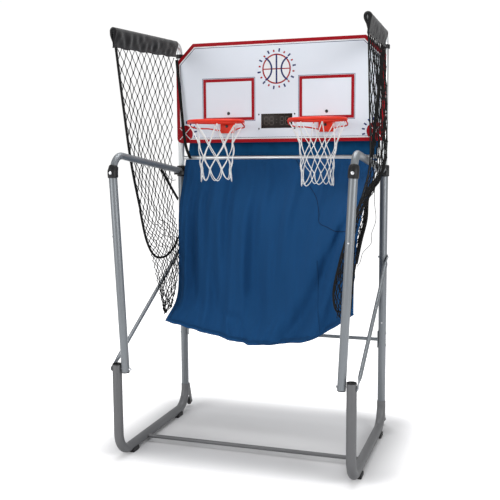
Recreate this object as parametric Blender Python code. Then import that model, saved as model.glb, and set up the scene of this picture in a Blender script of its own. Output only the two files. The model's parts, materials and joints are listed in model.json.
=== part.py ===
"""Two-player basketball hoop machine with a folding tube frame.

The front faces -Y and +X is to the right of someone standing in front of it. The origin is on the
floor, under the middle of the machine. Two side frames of round tube carry the board, its two
hoops, the ball return sheet and the side nets. Each front frame (leg, elbow and arm) tilts forward
about the bolt at the top of its base stub, and each net arm swivels in the top of its upright.
"""
import math

import bmesh
import bpy
from mathutils import Matrix, Vector

# Fits
FIT = 0.0003                # gap between touching pieces
BOLT_CLEAR = 0.0003         # gap between a bolt and its hole

# Overall sizes
HALF_WIDTH = 0.55           # middle of the machine to the middle of an upright
BASE_DEPTH = 0.80           # front stub to rear upright

# Base tubes, with a stub in front and a socket at the back
BASE_D = 0.0445
FOOT_THICK = 0.006
BASE_Z = FOOT_THICK + BASE_D / 2
BASE_BEND = 0.100
STUB_TOP = 0.4585
SOCKET_TOP = 0.150
CAP_STEM = 0.009            # length of a stub cap inside its tube
CAP_RIM = 0.005
CAP_DISH_R = 0.0160
FOOT_LENGTH = 0.060
FOOT_WIDTH = 0.053
FOOT_HEIGHT = 0.021
FOOT_ROUNDING = 0.0025

# Transport wheels
WHEEL_R = 0.022
WHEEL_WIDTH = 0.018
WHEEL_Z = 0.034
WHEEL_BACK = 0.056          # upright to the wheel's axle
BRACKET_PLATE = 0.0025
BRACKET_TOP = 0.146
BRACKET_WAIST = 0.080
BRACKET_LOBE = 0.011        # radius of the bracket's end round the axle

# Planes of the rear uprights and of the front stubs, with the origin midway along the footprint
REAR_Y = (BASE_DEPTH + BASE_D / 2 - WHEEL_BACK - WHEEL_R) / 2
FRONT_Y = REAR_Y - BASE_DEPTH

# Uprights
LOWER_D = 0.040
LOWER_WALL = 0.0015
LOWER_TOP = 1.333
SPIGOT_ROOM = 0.0025        # between the two uprights, for the collar's spigot
UPPER_D = LOWER_D - 2 * (LOWER_WALL + SPIGOT_ROOM)
UPPER_WALL = 0.00195
UPPER_TOP = LOWER_TOP + 0.612
UPPER_INSERT = 0.040        # length of the upper upright inside the lower one
NET_ARM_D = UPPER_D - 2 * (UPPER_WALL + FIT)
NET_ARM_INSERT = 0.065
BASE_WALL = (BASE_D - LOWER_D) / 2 - FIT

# Collars and elbows
COLLAR_R = 0.0258
COLLAR_ABOVE = 0.031
COLLAR_BELOW = 0.025
COLLAR_SPIGOT = 0.020
SADDLE_LENGTH = 0.034
SADDLE_BACK = 0.0235        # middle of the upright to the back of the saddle

# Front frames: leg, elbow and arm
LEG_D = 0.038
LEG_WALL = 0.0015
LEG_BOTTOM = 0.426
LEG_SIDE_GAP = 0.0026       # washer between the leg and its stub
PIVOT_Z = 0.440
ELBOW = Vector((HALF_WIDTH, FRONT_Y + 0.006, LOWER_TOP + 0.013))
ELBOW_TILT = math.radians(25)
ELBOW_R = 0.0240
ARM_D = 0.032
ARM_WALL = 0.0015
ARM_REAR_Z = LOWER_TOP + 0.005
ARM_RISE = 0.086            # from the elbow to the corner of the arm, along its end
ARM_BEND = 0.078

# Cross bars
BAR_D = 0.019
BAR_WALL = 0.0012
FLOOR_BAR_BACK = 0.53       # floor bar to the rear uprights
REAR_BAR_Z = 0.472
REAR_BAR_PLATE = (0.003, 0.022, 0.086)
REAR_BAR_BORE = 0.006       # hole in the end plates, which vents the bar
UPPER_BAR_Z = LOWER_TOP + 0.074
LOWER_RAIL_Z = LOWER_TOP + 0.357
UPPER_RAIL_Z = LOWER_TOP + 0.567

# Braces and bolts
BRACE_TOP_Z = 0.900
BRACE_FLAT = 0.0044
BRACE_FLAT_WIDTH = 0.026
BOLT_R = 0.004
BOLT_HEAD_R = 0.0075
BOLT_HEAD = 0.005
BOLT_TIP = 0.012

# Board
BOARD_THICK = 0.022
BOARD_BACK_Y = REAR_Y - UPPER_D / 2 - FIT
BOARD_FRONT_Y = BOARD_BACK_Y - BOARD_THICK
RAIL_Y = BOARD_BACK_Y + FIT + 0.0005 + BAR_D / 2
BOARD_HALF = HALF_WIDTH + 0.0065
BOARD_BOTTOM = LOWER_TOP + 0.152
BOARD_TOP = BOARD_BOTTOM + 0.518
BOARD_CHAMFER = 0.097
BOARD_CORNER_R = 0.025
WINDOW_HALF = 0.0835
WINDOW_LOW = BOARD_BOTTOM + 0.071
WINDOW_HIGH = BOARD_BOTTOM + 0.145

# Score unit behind the board
LENS_THICK = 0.004
LENS_INSET = 0.001
HOUSING_HALF = 0.105
HOUSING_LOW = BOARD_BOTTOM + 0.048
HOUSING_HIGH = BOARD_BOTTOM + 0.168
HOUSING_DEPTH = 0.036
HOUSING_WALL = 0.0025
CIRCUIT_THICK = 0.0016
CIRCUIT_BACK = 0.010        # board back to the front of the circuit board
DIGIT_HALF = 0.066
DIGIT_HEIGHT = 0.054
BUTTON_R = 0.0060
BUTTON_FLANGE = 0.0018
BUTTON_SPACING = 0.045

# Hoops
HOOP_X = 0.2625
HOOP_Z = BOARD_BOTTOM + 0.102
RIM_R = 0.137
RIM_ROD = 0.016
HOOP_REACH = RIM_R + 0.053  # board face to the middle of the rim
BRACKET_HALF = 0.0355
BRACKET_LOW = BOARD_BOTTOM + 0.048
BRACKET_HIGH = BOARD_BOTTOM + 0.100
BRACKET_DEPTH = 0.030
BRACKET_WALL = 0.003
BRACKET_ROD = 0.007
NECK_HALF = 0.028
ROD_ANGLE = math.radians(50)    # from the hoop's back to the end of a side rod
HOOP_BOLT_Z = BOARD_BOTTOM + 0.083
MOUNT_LOW = BOARD_BOTTOM + 0.060
MOUNT_HALF = 0.030
MOUNT_THICK = 0.004
NET_LENGTH = 0.300
NET_WAIST_R = 0.078
NET_END_R = 0.076
NET_WALL = 0.004

# Net arms and sleeves
NET_ARM_CORNER_Z = UPPER_TOP + 0.060
NET_ARM_REACH = 0.690       # uprights to the tips of the net arms
NET_ARM_FLARE = 0.034
NET_ARM_FALL = 0.020
NET_ARM_BEND = 0.048
CLAMP_R = 0.0215
CLAMP_HEIGHT = 0.020
SLEEVE_WALL = 0.0022
SLEEVE_DROP = 0.0590
SLEEVE_TIP = 0.006

# Soft goods
SHEET_THICK = 0.004
NET_THICK = 0.003

UP = Vector((0, 0, 1))
TUBE_SIDES = 16
THIN_SIDES = 12
RIM_STEPS = 32

PAINTED = ((0.24, 0.255, 0.27), 0.42, 0.55)
SILVER = ((0.62, 0.64, 0.65), 0.32, 0.75)
BLACK = ((0.02, 0.02, 0.022), 0.5, 0.0)
RUBBER = ((0.015, 0.015, 0.016), 0.8, 0.0)
BOARD_WHITE = ((0.72, 0.74, 0.80), 0.3, 0.0)
HOOP_RED = ((0.72, 0.06, 0.03), 0.35, 0.1)
CORD_WHITE = ((0.85, 0.85, 0.83), 0.7, 0.0)
SHEET_BLUE = ((0.012, 0.065, 0.19), 0.75, 0.0)
NET_BLACK = ((0.02, 0.02, 0.02), 0.8, 0.0)
ZINC = ((0.55, 0.56, 0.57), 0.35, 0.9)
LENS_DARK = ((0.03, 0.022, 0.02), 0.12, 0.0)
CIRCUIT_GREEN = ((0.02, 0.12, 0.05), 0.5, 0.0)
WHEEL_RED = ((0.20, 0.012, 0.012), 0.6, 0.0)


# ---------------------------------------------------------------- helpers

def clear_scene():
    """Remove every object of the open scene."""
    for obj in list(bpy.data.objects):
        bpy.data.objects.remove(obj, do_unlink=True)


def give_material(obj, finish):
    """Give an object a material of its own."""
    colour, roughness, metallic = finish
    material = bpy.data.materials.new(obj.name + "_finish")
    material.use_nodes = True
    shader = material.node_tree.nodes["Principled BSDF"]
    shader.inputs["Base Color"].default_value = (*colour, 1.0)
    shader.inputs["Roughness"].default_value = roughness
    shader.inputs["Metallic"].default_value = metallic
    obj.data.materials.append(material)


def make_object(name, bm, finish, parent=None):
    """Turn a bmesh into a smooth-shaded object."""
    bmesh.ops.recalc_face_normals(bm, faces=bm.faces)
    mesh = bpy.data.meshes.new(name)
    bm.to_mesh(mesh)
    bm.free()
    mesh.shade_smooth()
    mesh.set_sharp_from_angle(angle=math.radians(35))
    obj = bpy.data.objects.new(name, mesh)
    bpy.context.collection.objects.link(obj)
    if parent is not None:
        obj.parent = parent
        obj.matrix_parent_inverse = parent.matrix_world.inverted()
    give_material(obj, finish)
    return obj


def joint_empty(name, location):
    """Add the empty that stands on a joint's axis."""
    empty = bpy.data.objects.new(name, None)
    empty.location = location
    empty.empty_display_size = 0.05
    bpy.context.collection.objects.link(empty)
    bpy.context.view_layer.update()
    return empty


def hide_tool(obj):
    """Mark an object as a tool of a Boolean and not a piece."""
    obj.hide_render = True
    obj.display_type = "WIRE"


def boolean(obj, tool, operation):
    """Cut an object with a tool, or join the tool to it."""
    hide_tool(tool)
    modifier = obj.modifiers.new(operation.title() + "_" + tool.name, "BOOLEAN")
    modifier.operation = operation
    modifier.object = tool
    modifier.solver = "EXACT"


def filleted(points, radius, steps=6):
    """Turn the corners of a line into arcs, each given as a few points."""
    path = [points[0]]
    for before, corner, after in zip(points, points[1:], points[2:]):
        towards = (before - corner).normalized()
        away = (after - corner).normalized()
        half_angle = towards.angle(away) / 2
        tangent = radius / math.tan(half_angle)
        centre = corner + (towards + away).normalized() * (radius / math.sin(half_angle))
        start = corner + towards * tangent - centre
        turn = start.angle(corner + away * tangent - centre)
        axis = start.cross(corner + away * tangent - centre).normalized()
        for step in range(steps + 1):
            path.append(centre + Matrix.Rotation(turn * step / steps, 3, axis) @ start)
    path.append(points[-1])
    return path


def smooth_line(points, count):
    """Read evenly numbered points from a smooth curve through a few points."""
    ends = [points[0] * 2 - points[1]] + list(points) + [points[-1] * 2 - points[-2]]
    line = []
    for index in range(count):
        place = index / (count - 1) * (len(points) - 1)
        span = min(int(place), len(points) - 2)
        t = place - span
        a, b, c, d = ends[span:span + 4]
        line.append(0.5 * (2 * b + (c - a) * t + (2 * a - 5 * b + 4 * c - d) * t * t
                           + (3 * b - a - 3 * c + d) * t ** 3))
    return line


def frames_along(path, side_hint):
    """Yield a point, a side vector and an up vector for each point of a path."""
    for index, point in enumerate(path):
        before = path[max(index - 1, 0)]
        after = path[min(index + 1, len(path) - 1)]
        into = (point - before).normalized()
        out = (after - point).normalized()
        direction = (into + out).normalized()
        side = (side_hint - direction * side_hint.dot(direction)).normalized()
        yield point, side, direction.cross(side).normalized()


def ring_points(point, side, up, outline):
    """Place a flat outline of (side, up) pairs at a point of a path."""
    return [point + side * across + up * high for across, high in outline]


def circle(radius, sides):
    """Give the outline of a circle."""
    turn = 2 * math.pi / sides
    return [(radius * math.cos(turn * i), radius * math.sin(turn * i)) for i in range(sides)]


def bridge_rings(bm, first, second):
    """Join two rings of as many vertices with a band of faces."""
    for index, vert in enumerate(first):
        after = (index + 1) % len(first)
        bm.faces.new((vert, first[after], second[after], second[index]))


def add_rings(bm, rings):
    """Add the rings of a skin and the bands between them."""
    verts = [[bm.verts.new(point) for point in ring] for ring in rings]
    for first, second in zip(verts, verts[1:]):
        bridge_rings(bm, first, second)
    return verts


def loft(rings, inner_rings=None):
    """Build a closed body through rings, hollow where inner rings are given."""
    bm = bmesh.new()
    outer = add_rings(bm, rings)
    if inner_rings is None:
        bm.faces.new(outer[0])
        bm.faces.new(outer[-1])
    else:
        inner = add_rings(bm, inner_rings)
        bridge_rings(bm, outer[0], inner[0])
        bridge_rings(bm, outer[-1], inner[-1])
    return bm


def tube(name, path, diameter, wall, finish, parent=None, side_hint=Vector((1, 0, 0)), sides=TUBE_SIDES):
    """Sweep a round tube along a path, solid where the wall is None."""
    stations = list(frames_along(path, side_hint))
    outer = [ring_points(*station, circle(diameter / 2, sides)) for station in stations]
    inner = None
    if wall is not None:
        inner = [ring_points(*station, circle(diameter / 2 - wall, sides)) for station in stations]
    return make_object(name, loft(outer, inner), finish, parent)


def lathe(name, profile, finish, place, axis, parent=None, sides=TUBE_SIDES):
    """Turn a profile of (radius, height) pairs about an axis that starts at a place.

    A profile that starts and ends at radius 0 gives a solid, any other is closed into a ring.
    """
    bm = bmesh.new()
    turned = axis.normalized().to_track_quat("Z", "Y").to_matrix()
    solid = profile[0][0] == 0
    body = profile[1:-1] if solid else profile
    rings = []
    for radius, height in body:
        ring = [Vector((x, y, height)) for x, y in circle(radius, sides)]
        rings.append([bm.verts.new(place + turned @ point) for point in ring])
    for first, second in zip(rings, rings[1:]):
        bridge_rings(bm, first, second)
    if solid:
        bm.faces.new(rings[0])
        bm.faces.new(rings[-1])
    else:
        bridge_rings(bm, rings[-1], rings[0])
    return make_object(name, bm, finish, parent)


def block(name, low, high, finish, parent=None, rounding=0.0):
    """Make a box between two corners, with its edges bevelled by the rounding."""
    bm = bmesh.new()
    size = high - low
    middle = (low + high) / 2
    bmesh.ops.create_cube(bm, size=1.0, matrix=Matrix.Translation(middle) @ Matrix.Diagonal((*size, 1.0)))
    if rounding > 0:
        bmesh.ops.bevel(bm, geom=bm.edges[:], offset=rounding, segments=2, affect="EDGES")
    return make_object(name, bm, finish, parent)


def prism(name, outline, depth, finish, parent=None):
    """Extrude a flat outline of points by a depth vector."""
    bm = bmesh.new()
    face = bm.faces.new([bm.verts.new(point) for point in outline])
    grown = bmesh.ops.extrude_face_region(bm, geom=[face])
    moved = [item for item in grown["geom"] if isinstance(item, bmesh.types.BMVert)]
    bmesh.ops.translate(bm, verts=moved, vec=depth)
    return make_object(name, bm, finish, parent)


def rod(name, start, end, radius, sides=THIN_SIDES):
    """Make a plain solid rod, used to cut or to join."""
    direction = (end - start).normalized()
    hint = Vector((1, 0, 0)) if abs(direction.x) < 0.9 else UP
    return tube(name, [start, end], radius * 2, None, ZINC, None, hint, sides)


def drill(obj, label, start, end, radius):
    """Drill a round hole through an object."""
    boolean(obj, rod("drill_" + label + "_" + obj.name, start, end, radius), "DIFFERENCE")


def patch(name, left, right, top, bottom, counts, thickness, finish):
    """Make a sheet between four edge lines, and give it a thickness.

    Left and right run downwards, top and bottom run from left to right.
    """
    across, down = counts
    left = smooth_line(left, down)
    right = smooth_line(right, down)
    top = smooth_line(top, across)
    bottom = smooth_line(bottom, across)
    bm = bmesh.new()
    grid = []
    for row in range(down):
        v = row / (down - 1)
        line = []
        for column in range(across):
            u = column / (across - 1)
            sides = left[row] * (1 - u) + right[row] * u
            ends = top[column] * (1 - v) + bottom[column] * v
            upper_line = top[0] * (1 - u) + top[-1] * u
            lower_line = bottom[0] * (1 - u) + bottom[-1] * u
            corners = upper_line * (1 - v) + lower_line * v
            line.append(bm.verts.new(sides + ends - corners))
        grid.append(line)
    for upper, lower in zip(grid, grid[1:]):
        for column in range(across - 1):
            bm.faces.new((upper[column], lower[column], lower[column + 1], upper[column + 1]))
    obj = make_object(name, bm, finish)
    solidify = obj.modifiers.new("Thickness", "SOLIDIFY")
    solidify.thickness = thickness
    solidify.offset = 0
    return obj


def side_name(side):
    """Name the side of the machine as seen from the front."""
    return "right" if side > 0 else "left"


# ---------------------------------------------------------------- frame

def base_tube(side):
    """Bend the base tube: front stub, floor run and rear socket."""
    x = side * HALF_WIDTH
    corners = [Vector((x, FRONT_Y, STUB_TOP)), Vector((x, FRONT_Y, BASE_Z)),
               Vector((x, REAR_Y, BASE_Z)), Vector((x, REAR_Y, SOCKET_TOP))]
    obj = tube("base_tube_" + side_name(side), filleted(corners, BASE_BEND), BASE_D, BASE_WALL, PAINTED)
    drill(obj, "pivot", Vector((x - BASE_D, FRONT_Y, PIVOT_Z)), Vector((x + BASE_D, FRONT_Y, PIVOT_Z)),
          BOLT_R + BOLT_CLEAR)


def stub_cap(side):
    """Turn the dished plug that closes the top of a stub."""
    stem_r = BASE_D / 2 - BASE_WALL - FIT
    profile = [(0, -CAP_STEM), (stem_r, -CAP_STEM), (stem_r, FIT), (BASE_D / 2, FIT),
               (BASE_D / 2, CAP_RIM - 0.0015), (BASE_D / 2 - 0.0015, CAP_RIM),
               (CAP_DISH_R + 0.0015, CAP_RIM), (CAP_DISH_R, 0.005 - CAP_STEM), (0, 0.005 - CAP_STEM)]
    lathe("stub_cap_" + side_name(side), profile, BLACK,
          Vector((side * HALF_WIDTH, FRONT_Y, STUB_TOP)), UP)


def foot(side, place, start_y):
    """Make a rubber foot that cradles the floor run, with a flat sole on the floor."""
    x = side * HALF_WIDTH
    end_y = start_y + FOOT_LENGTH
    obj = block(place + "_foot_" + side_name(side), Vector((x - FOOT_WIDTH / 2, start_y, 0)),
                Vector((x + FOOT_WIDTH / 2, end_y, FOOT_HEIGHT)), RUBBER, rounding=FOOT_ROUNDING)
    cradle = rod("cradle_" + obj.name, Vector((x, start_y - 0.02, BASE_Z)), Vector((x, end_y + 0.02, BASE_Z)),
                 BASE_D / 2 + FIT, TUBE_SIDES)
    boolean(obj, cradle, "DIFFERENCE")


def lower_upright(side):
    """Make the lower upright, which stands in the base's rear socket."""
    x = side * HALF_WIDTH
    bottom = BASE_Z + BASE_BEND + 0.002
    tube("lower_upright_" + side_name(side), [Vector((x, REAR_Y, bottom)), Vector((x, REAR_Y, LOWER_TOP))],
         LOWER_D, LOWER_WALL, PAINTED)


def upper_upright(side):
    """Make the thinner upright that carries the board."""
    x = side * HALF_WIDTH
    ends = [Vector((x, REAR_Y, LOWER_TOP - UPPER_INSERT)), Vector((x, REAR_Y, UPPER_TOP))]
    tube("upper_upright_" + side_name(side), ends, UPPER_D, UPPER_WALL, SILVER)


def arm_line():
    """Give the middle line of the right arm: its rear end, its corner and its end in the elbow."""
    end_direction = Vector((0, math.sin(ELBOW_TILT), math.cos(ELBOW_TILT)))
    corner = ELBOW + end_direction * ARM_RISE
    rear = Vector((HALF_WIDTH, REAR_Y - COLLAR_R - 0.0015, ARM_REAR_Z))
    return rear, corner, ELBOW + end_direction * 0.004


def mirrored(point, side):
    """Put a point of the right side on either side."""
    return Vector((point.x * side, point.y, point.z))


def collar(side):
    """Turn the collar between the uprights, with the saddle that the arm rests in."""
    bore = UPPER_D / 2 + FIT
    spigot = LOWER_D / 2 - LOWER_WALL - FIT
    sleeve = LOWER_D / 2 + FIT
    profile = [(bore, -COLLAR_SPIGOT), (spigot, -COLLAR_SPIGOT), (spigot, FIT), (sleeve, FIT),
               (sleeve, -COLLAR_BELOW),
               (COLLAR_R, -COLLAR_BELOW), (COLLAR_R, COLLAR_ABOVE - 0.003),
               (COLLAR_R - 0.003, COLLAR_ABOVE), (bore, COLLAR_ABOVE)]
    x = side * HALF_WIDTH
    obj = lathe("collar_" + side_name(side), profile, BLACK, Vector((x, REAR_Y, LOWER_TOP)), UP)
    near = REAR_Y - SADDLE_BACK
    half = ARM_D / 2 + 0.005
    saddle = block("saddle_" + obj.name, Vector((x - half, near - SADDLE_LENGTH, ARM_REAR_Z - half)),
                   Vector((x + half, near, ARM_REAR_Z)), BLACK)
    boolean(obj, saddle, "UNION")
    rear, corner, _ = arm_line()
    back = (rear - corner).normalized() * 0.0012
    boolean(obj, rod("saddle_bore_" + obj.name, mirrored(rear + back, side), mirrored(corner, side),
                     ARM_D / 2 + FIT, TUBE_SIDES), "DIFFERENCE")


def flat_bolt(name, place, axis, length, finish=ZINC, parent=None, head=BOLT_HEAD, tip=BOLT_TIP):
    """Turn a bolt with its nut: the head lies outside the place, the nut ends a length from it."""
    nut = length + FIT
    profile = [(0, head), (BOLT_HEAD_R * 0.7, head), (BOLT_HEAD_R, head * 0.6), (BOLT_HEAD_R, FIT),
               (BOLT_R, FIT), (BOLT_R, -nut), (BOLT_HEAD_R, -nut), (BOLT_HEAD_R, -nut - 0.006),
               (BOLT_R, -nut - 0.006), (BOLT_R, -nut - tip), (0, -nut - tip)]
    return lathe(name, profile, finish, place, axis, parent, sides=12)


def leg_bottom():
    """Give the lower end of the right leg, beside its stub."""
    inboard = HALF_WIDTH - BASE_D / 2 - LEG_SIDE_GAP - LEG_D / 2
    return Vector((inboard, FRONT_Y, LEG_BOTTOM))


def pivot_bolt(side):
    """Put the bolt through the brace, the stub and the leg, which tilts about it."""
    outer = HALF_WIDTH + BASE_D / 2 + FIT + BRACE_FLAT
    lean = (ELBOW.x - leg_bottom().x) / (ELBOW.z - LEG_BOTTOM)
    inner = leg_bottom().x + lean * (PIVOT_Z - LEG_BOTTOM - BOLT_HEAD_R) - LEG_D / 2
    flat_bolt("pivot_bolt_" + side_name(side), Vector((side * outer, FRONT_Y, PIVOT_Z)),
              Vector((side, 0, 0)), outer - inner)


def brace(side):
    """Sweep the thin brace, whose ends are pressed flat for their bolts."""
    low = Vector((side * (HALF_WIDTH + BASE_D / 2 + FIT + BRACE_FLAT / 2), FRONT_Y, PIVOT_Z))
    high = Vector((side * (HALF_WIDTH + LOWER_D / 2 + FIT + BRACE_FLAT / 2), REAR_Y, BRACE_TOP_Z))
    along = (high - low).normalized()
    length = (high - low).length
    reach = BRACE_FLAT_WIDTH / 2
    flat = (BRACE_FLAT_WIDTH / 2, BRACE_FLAT / 2)
    rounded = (BAR_D / 2, BAR_D / 2)
    stations = [(-reach, (reach * 0.5, BRACE_FLAT / 2)), (-reach * 0.7, (reach * 0.86, BRACE_FLAT / 2)),
                (0, flat), (0.030, flat), (0.042, (0.0118, 0.0045)), (0.056, (0.0100, 0.0080)),
                (0.070, rounded)]
    stations += [(length - place, shape) for place, shape in reversed(stations)]
    side_axis = Vector((1, 0, 0))
    in_plane = along.cross(side_axis).normalized()
    rings = []
    for place, (wide, thick) in stations:
        outline = [(wide * c, thick * s) for c, s in circle(1.0, THIN_SIDES)]
        rings.append(ring_points(low + along * place, in_plane, side_axis, outline))
    obj = make_object("brace_" + side_name(side), loft(rings), PAINTED)
    across = Vector((0.02, 0, 0))
    drill(obj, "pivot", low - across, low + across, BOLT_R + BOLT_CLEAR)


def cross_bar(name, half_length, y, z, diameter, finish):
    """Make a straight bar from one side frame to the other."""
    ends = [Vector((-half_length, y, z)), Vector((half_length, y, z))]
    return tube(name, ends, diameter, BAR_WALL, finish, side_hint=UP, sides=THIN_SIDES)


def cross_bars():
    """Make the bars that tie the two sides together."""
    reach = HALF_WIDTH - BASE_D / 2 - FIT
    cross_bar("floor_crossbar", reach, REAR_Y - FLOOR_BAR_BACK, BASE_Z, BAR_D, PAINTED)
    reach = HALF_WIDTH - UPPER_D / 2 - FIT
    cross_bar("upper_crossbar", reach, REAR_Y, UPPER_BAR_Z, BAR_D, SILVER)
    cross_bar("board_rail_upper", reach, RAIL_Y, UPPER_RAIL_Z, BAR_D, PAINTED)
    lower = cross_bar("board_rail_lower", reach, RAIL_Y, LOWER_RAIL_Z, BAR_D, PAINTED)
    front = BOARD_BACK_Y + FIT
    for side in (-1, 1):
        x = side * HOOP_X
        plate = block("hoop_plate_" + side_name(side), Vector((x - MOUNT_HALF, front, MOUNT_LOW)),
                      Vector((x + MOUNT_HALF, front + MOUNT_THICK, LOWER_RAIL_Z)), PAINTED)
        boolean(lower, plate, "UNION")
        drill(lower, "bolt_" + side_name(side), Vector((x, front - 0.01, HOOP_BOLT_Z)),
              Vector((x, front + 0.02, HOOP_BOLT_Z)), BOLT_R + BOLT_CLEAR)
    thick, wide, tall = REAR_BAR_PLATE
    reach = HALF_WIDTH - LOWER_D / 2 - FIT
    rear = cross_bar("rear_crossbar", reach - thick / 2, REAR_Y, REAR_BAR_Z, BAR_D, PAINTED)
    for side in (-1, 1):
        inner = Vector((side * (reach - thick), REAR_Y - wide / 2, REAR_BAR_Z - tall / 2))
        outer = Vector((side * reach, REAR_Y + wide / 2, REAR_BAR_Z + tall / 2))
        low = Vector(map(min, inner, outer))
        high = Vector(map(max, inner, outer))
        boolean(rear, block("end_plate_" + side_name(side), low, high, PAINTED), "UNION")
    ends = [Vector((side * HALF_WIDTH, REAR_Y, REAR_BAR_Z)) for side in (-1, 1)]
    drill(rear, "bore", *ends, REAR_BAR_BORE)


# ---------------------------------------------------------------- front frames

def leg(side, parent):
    """Make the leg, which hangs beside the stub and leans out to the elbow."""
    bottom = leg_bottom()
    top = ELBOW - (ELBOW - bottom).normalized() * 0.004
    ends = [mirrored(bottom, side), mirrored(top, side)]
    obj = tube("leg_" + side_name(side), ends, LEG_D, LEG_WALL, PAINTED, parent)
    x = side * bottom.x
    drill(obj, "pivot", Vector((x - LEG_D, FRONT_Y, PIVOT_Z)), Vector((x + LEG_D, FRONT_Y, PIVOT_Z)),
          BOLT_R + BOLT_CLEAR)


def leg_end_cap(side, parent):
    """Turn the plug in the leg's lower end."""
    bottom = leg_bottom()
    axis = mirrored(bottom, side) - mirrored(ELBOW, side)
    stem = LEG_D / 2 - LEG_WALL - 2 * FIT
    profile = [(0, -0.007), (stem, -0.007), (stem, FIT), (LEG_D / 2, FIT), (LEG_D / 2, 0.003),
               (LEG_D / 2 - 0.0012, 0.004), (0, 0.004)]
    lathe("leg_end_cap_" + side_name(side), profile, BLACK, mirrored(bottom, side), axis, parent)


def arm(side, parent):
    """Bend the arm from the collar's saddle to the elbow."""
    points = [mirrored(point, side) for point in arm_line()]
    tube("arm_" + side_name(side), filleted(points, ARM_BEND), ARM_D, ARM_WALL, PAINTED, parent)


def elbow(side, parent):
    """Mould the elbow that joins the arm to the leg."""
    centre = mirrored(ELBOW, side)
    down = (mirrored(leg_bottom(), side) - centre).normalized()
    up = Vector((0, math.sin(ELBOW_TILT), math.cos(ELBOW_TILT)))
    stations = [(centre + down * 0.0265, ELBOW_R - 0.0015), (centre + down * 0.0235, ELBOW_R - 0.0004),
                (centre + down * 0.010, ELBOW_R), (centre + up * 0.004, ELBOW_R),
                (centre + up * 0.024, ELBOW_R - 0.0022), (centre + up * 0.028, ELBOW_R - 0.0042)]
    path = [place for place, _ in stations]
    rings = []
    for (_, radius), frame in zip(stations, frames_along(path, Vector((1, 0, 0)))):
        rings.append(ring_points(*frame, circle(radius, TUBE_SIDES)))
    obj = make_object("elbow_" + side_name(side), loft(rings), BLACK, parent)
    for label, way, diameter in (("leg_socket_", down, LEG_D), ("arm_socket_", up, ARM_D)):
        start = centre + way * 0.0035
        end = centre + way * 0.05
        boolean(obj, rod(label + obj.name, start, end, diameter / 2 + FIT, TUBE_SIDES), "DIFFERENCE")


def front_frame(side):
    """Make one front frame, hung on the empty of its tilt joint."""
    parent = joint_empty("tilt_axis_" + side_name(side), Vector((side * HALF_WIDTH, FRONT_Y, PIVOT_Z)))
    leg(side, parent)
    leg_end_cap(side, parent)
    arm(side, parent)
    elbow(side, parent)


# ---------------------------------------------------------------- transport wheels

def wheel_set(side):
    """Make the bracket with its riveted axle pin, and the wheel, behind a rear bend."""
    x = side * HALF_WIDTH
    name = side_name(side)
    axle = Vector((x, REAR_Y + WHEEL_BACK, WHEEL_Z))
    half = WHEEL_WIDTH / 2 + FIT + 0.0007 + BRACKET_PLATE
    back = REAR_Y + BASE_D / 2 + FIT
    outline = [Vector((x - half, back, BRACKET_TOP)), Vector((x - half, back, BRACKET_WAIST))]
    for step in range(9):
        angle = math.radians(200 + step * 22)
        lobe = Vector((0, math.cos(angle), math.sin(angle))) * BRACKET_LOBE
        outline.append(axle + lobe - Vector((half, 0, 0)))
    outline.append(Vector((x - half, back + 0.014, BRACKET_TOP)))
    bracket = prism("wheel_bracket_" + name, outline, Vector((2 * half, 0, 0)), PAINTED)
    slot = half - BRACKET_PLATE
    boolean(bracket, block("slot_" + name, Vector((x - slot, back + BRACKET_PLATE, -0.02)),
                           Vector((x + slot, back + 0.10, 0.20)), PAINTED), "DIFFERENCE")
    head = half + 0.003
    inside = half - 0.0005
    profile = [(0, -head), (0.007, -head), (0.007, -inside), (BOLT_R, -inside), (BOLT_R, inside),
               (0.007, inside), (0.007, head), (0, head)]
    pin = lathe("axle_pin_" + name, profile, ZINC, axle, Vector((1, 0, 0)), sides=THIN_SIDES)
    boolean(bracket, pin, "UNION")
    spin = joint_empty("wheel_axis_" + name, axle)
    width = WHEEL_WIDTH / 2
    edge = width - 0.0015
    profile = [(BOLT_R + BOLT_CLEAR, -width), (0.010, -width), (0.012, -edge), (WHEEL_R - 0.003, -edge),
               (WHEEL_R, -edge + 0.003), (WHEEL_R, edge - 0.003), (WHEEL_R - 0.003, edge), (0.012, edge),
               (0.010, width), (BOLT_R + BOLT_CLEAR, width)]
    lathe("wheel_" + name, profile, WHEEL_RED, axle, Vector((1, 0, 0)), spin)


# ---------------------------------------------------------------- board and score unit

def board_outline(y):
    """Give the board's outline: chamfered above, rounded below."""
    low_x = BOARD_HALF - BOARD_CORNER_R
    low_z = BOARD_BOTTOM + BOARD_CORNER_R
    points = [Vector((-BOARD_HALF + BOARD_CHAMFER, y, BOARD_TOP)),
              Vector((-BOARD_HALF, y, BOARD_TOP - BOARD_CHAMFER))]
    for centre_x, first in ((-low_x, 180), (low_x, 270)):
        for step in range(6):
            angle = math.radians(first + 18 * step)
            points.append(Vector((centre_x + BOARD_CORNER_R * math.cos(angle), y,
                                  low_z + BOARD_CORNER_R * math.sin(angle))))
    points.append(Vector((BOARD_HALF, y, BOARD_TOP - BOARD_CHAMFER)))
    points.append(Vector((BOARD_HALF - BOARD_CHAMFER, y, BOARD_TOP)))
    return points


def backboard():
    """Cut the board with its score window and its bolt holes."""
    obj = prism("backboard", board_outline(BOARD_FRONT_Y), Vector((0, BOARD_THICK, 0)), BOARD_WHITE)
    boolean(obj, block("window_cut", Vector((-WINDOW_HALF, BOARD_FRONT_Y - 0.01, WINDOW_LOW)),
                       Vector((WINDOW_HALF, BOARD_BACK_Y + 0.01, WINDOW_HIGH)), BLACK), "DIFFERENCE")
    for side in (-1, 1):
        start = Vector((side * HOOP_X, BOARD_FRONT_Y - 0.01, HOOP_BOLT_Z))
        end = start + Vector((0, BOARD_THICK + 0.02, 0))
        drill(obj, "hoop_" + side_name(side), start, end, BOLT_R + BOLT_CLEAR)


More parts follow.
